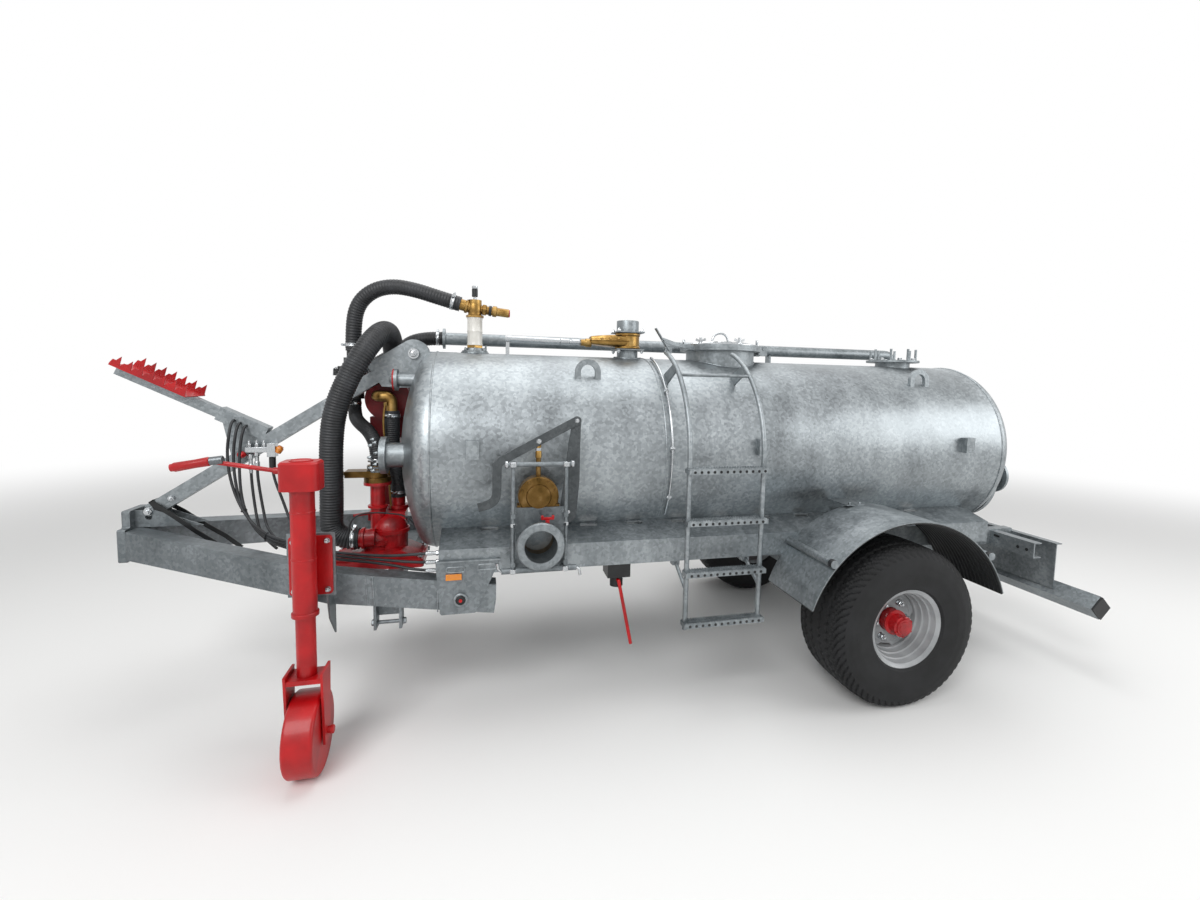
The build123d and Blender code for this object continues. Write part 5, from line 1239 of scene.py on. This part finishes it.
for i, route in enumerate(couplingRoutes):
    ribbedHose(f"couplingHose{i + 1}", None, route, hoseSettings["thin"], 12, 5)

# straps round the stay's foot and cable ties round the hoses
straps = []
for way in (-1, 1):
    straps.append(carried([(3.772, way * 0.042, 1.012), (3.690, way * 0.052, 0.952),
                           (3.590, way * 0.058, 0.868), (3.505, way * 0.062, 0.805),
                           (3.430, way * 0.064, 0.735)], flatProfile(0.004, 0.022)))
    straps.append(slab((3.768, way * 0.0375, 0.996), (0.026, 0.004, 0.080), 0.582))
    straps.append(slab((3.768 + way * 0.0206, 0, 0.996 + way * 0.0313), (0.026, 0.079, 0.004), 0.582))
makePiece("stayStraps", straps, blackPlastic)
ties = []
thinLines = [evenSteps(smoothRoute(route), 0.02)[0] for route in thinRoutes]
for at in (0.30, 0.42, 0.66):
    i = int(at * len(thinLines[1]))
    middles = np.array([line[i] for line in thinLines])
    first, second = axisFrame(thinLines[1][i + 1] - thinLines[1][i])[1:]
    centre = middles.mean(0)
    wide, high = (np.abs((middles - centre) @ way).max() + 0.0085 for way in (first, second))
    a = np.linspace(0, tau, 33)
    oval = centre + wide * np.cos(a)[:, None] * first + high * np.sin(a)[:, None] * second
    ties.append(carried(oval, flatProfile(0.003, 0.006)))
makePiece("cableTies", ties, blackPlastic)


# ---- pump, trap and stub details

pumpAt = {"x": 2.690, "y": 0.120, "top": 0.721, "halfLong": 0.215, "halfWide": 0.105}
riserAt = (2.700, 0.120)
domeAt, domeScrews, domeCircle = (2.640, 0.110), 6, 0.088
pumpBolts = [hexBolt((pumpAt["x"] + dx, pumpAt["y"] + dy, pumpAt["top"]), upward, 0.019, 0.012, 0.006)
             for dx in (-pumpAt["halfLong"], pumpAt["halfLong"])
             for dy in (-pumpAt["halfWide"], pumpAt["halfWide"])]
pumpBolts.append(nutRing((*riserAt, 1.126), upward, 0.059, 6, 0.013, 0.010))
makePiece("pumpBolts", pumpBolts, brightSteel)
castRings = [turned([(-0.012, 0.078), (-0.010, 0.084), (0.010, 0.084), (0.012, 0.078)], (2.700, 0.140, 0.800),
                    upward, 48),
             turned([(-0.012, 0.094), (-0.010, 0.100), (0.010, 0.100), (0.012, 0.094)], (*domeAt, 0.850),
                    upward, 48),
             turned([(-0.010, 0.052), (-0.008, 0.057), (0.010, 0.057), (0.012, 0.050)], (2.612, 0.015, 0.956),
                    upward, 36),
             turned([(-0.008, 0.046), (-0.006, 0.051), (0.006, 0.051), (0.008, 0.046)], (*riserAt, 0.985),
                    upward, 36),
             turned([(-0.030, 0.050), (-0.026, 0.056), (-0.014, 0.056), (-0.010, 0.050)], suctionRoute[0],
                    forward, 36)]
for i in range(domeScrews):
    a = tau * i / domeScrews
    place = (domeAt[0] + domeCircle * math.cos(a), domeAt[1] + domeCircle * math.sin(a), 0.858)
    castRings.append(hexBolt(place, upward, 0.012, 0.008))
makePiece("pumpRings", castRings, castRed)
cableRoute = [(2.818, 0.280, 0.800), (2.819, 0.268, 0.883), (2.806, 0.255, 0.945), (2.765, 0.245, 0.974),
              (2.690, 0.232, 0.974), (2.628, 0.238, 0.969), (2.553, 0.240, 0.958), (2.500, 0.240, 0.909),
              (2.462, 0.240, 0.845)]
ribbedHose("pumpCable", None, cableRoute, dict(hoseSettings["thin"], radius=0.0042, body=0.0041), 10, 4)
brassLine = smoothRoute([(2.664, 0.070, 1.540), (2.676, 0.092, 1.470), (2.664, 0.082, 1.300),
                         (2.650, 0.062, 1.150), (2.650, 0.060, 1.040), (2.642, 0.058, 0.950)])
lineUnion = turned([(0, 0.009), (0.016, 0.009), (0.018, 0.007)], (2.664, 0.070, 1.530), upward, 6)
makePiece("brassLine", [carried(brassLine, circleProfile(0.0055, 10)), lineUnion], brass)
trapAt = np.array((2.855, -0.100, 1.560))
trapParts = [turned([(z - 0.008, 0.0525), (z - 0.006, 0.0565), (z + 0.006, 0.0565), (z + 0.008, 0.0525)],
                    trapAt, upward, 40) for z in (0.045, 0.120, 0.185)]
trapParts += [slab(trapAt + (0.060, 0.030, 0.150), (0.030, 0.026, 0.062)),
              slab(trapAt + (0.082, 0.030, 0.158), (0.022, 0.034, 0.018)),
              turned([(-0.020, 0.012), (0.020, 0.012)], trapAt + (0.086, 0.030, 0.140), leftward, 16)]
makePiece("trapRings", trapParts, blackPlastic, bevel=0.002)
trapClip = [carried([trapAt + (x, y, z) for x, z in ((0.078, 0.176), (0.094, 0.165), (0.096, 0.128))],
                    circleProfile(0.0025, 8)) for y in (0.012, 0.048)]
makePiece("trapClip", trapClip, brightSteel)
riserStraps = [turned([(-0.007, 0.0505), (-0.006, 0.0525), (0.006, 0.0525), (0.007, 0.0505)],
                      (*riserAt, z), upward, 36) for z in (1.182, 1.200)]
makePiece("riserStraps", riserStraps, darkSteel)


# ---- rear details

lampFace = -1.1695
# black discs and a slot laid on the rear panel where its holes are: painted shade for the open holes
lampHoles = [turned([(0, 0.010), (0.0015, 0.010)], (lampFace, y, 0.694), forward, 20) for y in (0.607, 0.665)]
lampHoles.append(carried([(lampFace, 0.440, 0.722), (lampFace, 0.476, 0.722)], circleProfile(0.0075, 10)))
makePiece("lampHoles", lampHoles + [flipped(part) for part in lampHoles], blackPlastic,
          smooth=False)
tubeCaps = [turned([(-0.020, 0.0203), (-0.018, 0.0215), (0.004, 0.0215), (0.0098, 0.018)],
                   onGuard(0.631, math.radians(degrees), 1.030), leftward, 28) for degrees in (42, 140)]
makePair("guardTubeCaps", tubeCaps, blackPlastic)
ledgeParts = [slab((0.088, 0.562, 1.019), (0.120, 0.190, 0.006)),
              hexBolt((0.055, 0.642, 1.022), upward, 0.015, 0.009),
              hexBolt((0.121, 0.642, 1.022), upward, 0.015, 0.009)]
makePair("guardLedge", ledgeParts, zinc)
print("pump, hoses and rear details made")


# ---- floor and light

floorSettings = {"half": 40.0, "colour": "#F1F1F0", "near": 5.0, "far": 12.0}
lightSettings = {
    "sky": 0.36, "target": (1.0, 0.0, 1.0),
    "key": {"place": (5.5, 6.5, 6.5), "size": 5.0, "power": 480},
    "top": {"place": (1.0, -1.0, 7.0), "size": 7.0, "power": 230},
    "rear": {"place": (-5.0, 3.5, 3.5), "size": 4.0, "power": 140},
}


def makeFloor(s):
    h = s["half"]
    corners = [(-h, -h, 0), (h, -h, 0), (h, h, 0), (-h, h, 0)]
    material, tree, shader, place = newMaterial(
        "paleFloor", {"Base Color": linearColour(s["colour"]), "Roughness": 0.9})
    white = addNode(tree, "ShaderNodeEmission", {"Strength": 1.0})
    away = addNode(tree, "ShaderNodeVectorMath", {"operation": "LENGTH"}, {"Vector": place})
    fadeRange = {"From Min": s["near"], "From Max": s["far"], "interpolation_type": "SMOOTHSTEP"}
    fade = addNode(tree, "ShaderNodeMapRange", fadeRange, {"Value": away.outputs["Value"]})
    mix = addNode(tree, "ShaderNodeMixShader", links={0: fade.outputs["Result"], 1: shader.outputs["BSDF"],
                                                      2: white.outputs["Emission"]})
    tree.links.new(mix.outputs["Shader"], tree.nodes["Material Output"].inputs["Surface"])
    floor = meshObject("floor", corners, [(0, 1, 2, 3)], material, smooth=False)


def makeSky(strength):
    world = bpy.data.worlds.new("studio")
    bpy.context.scene.world = world
    world.use_nodes = True
    tree = world.node_tree
    soft = tree.nodes["Background"]
    soft.inputs["Color"].default_value = (1, 1, 1, 1)
    soft.inputs["Strength"].default_value = strength
    white = addNode(tree, "ShaderNodeBackground", {"Strength": 1.0})
    white.inputs["Color"].default_value = (1, 1, 1, 1)
    rays = addNode(tree, "ShaderNodeLightPath")
    seen = addNode(tree, "ShaderNodeMath", {"operation": "MAXIMUM"},
                   {0: rays.outputs["Is Camera Ray"], 1: rays.outputs["Is Glossy Ray"]})
    seenAll = addNode(tree, "ShaderNodeMath", {"operation": "MAXIMUM"},
                      {0: seen.outputs["Value"], 1: rays.outputs["Is Transmission Ray"]})
    mix = addNode(tree, "ShaderNodeMixShader",
                  links={0: seenAll.outputs["Value"], 1: soft.outputs["Background"],
                                                      2: white.outputs["Background"]})
    tree.links.new(mix.outputs["Shader"], tree.nodes["World Output"].inputs["Surface"])


def makeLamp(name, s):
    data = bpy.data.lights.new(name, "AREA")
    data.shape = "DISK"
    data.size = s["size"]
    data.energy = s["power"]
    lamp = bpy.data.objects.new(name, data)
    lamp.location = Vector(s["place"]) + Vector((axleX, 0, 0))
    aim = Vector(lightSettings["target"]) - Vector(s["place"])
    lamp.rotation_euler = aim.to_track_quat("-Z", "Y").to_euler()
    bpy.context.scene.collection.objects.link(lamp)


makeFloor(floorSettings)
makeSky(lightSettings["sky"])
for lampName in ("key", "top", "rear"):
    makeLamp(lampName, lightSettings[lampName])
bpy.context.scene.view_settings.view_transform = "Standard"
print("floor and light made")
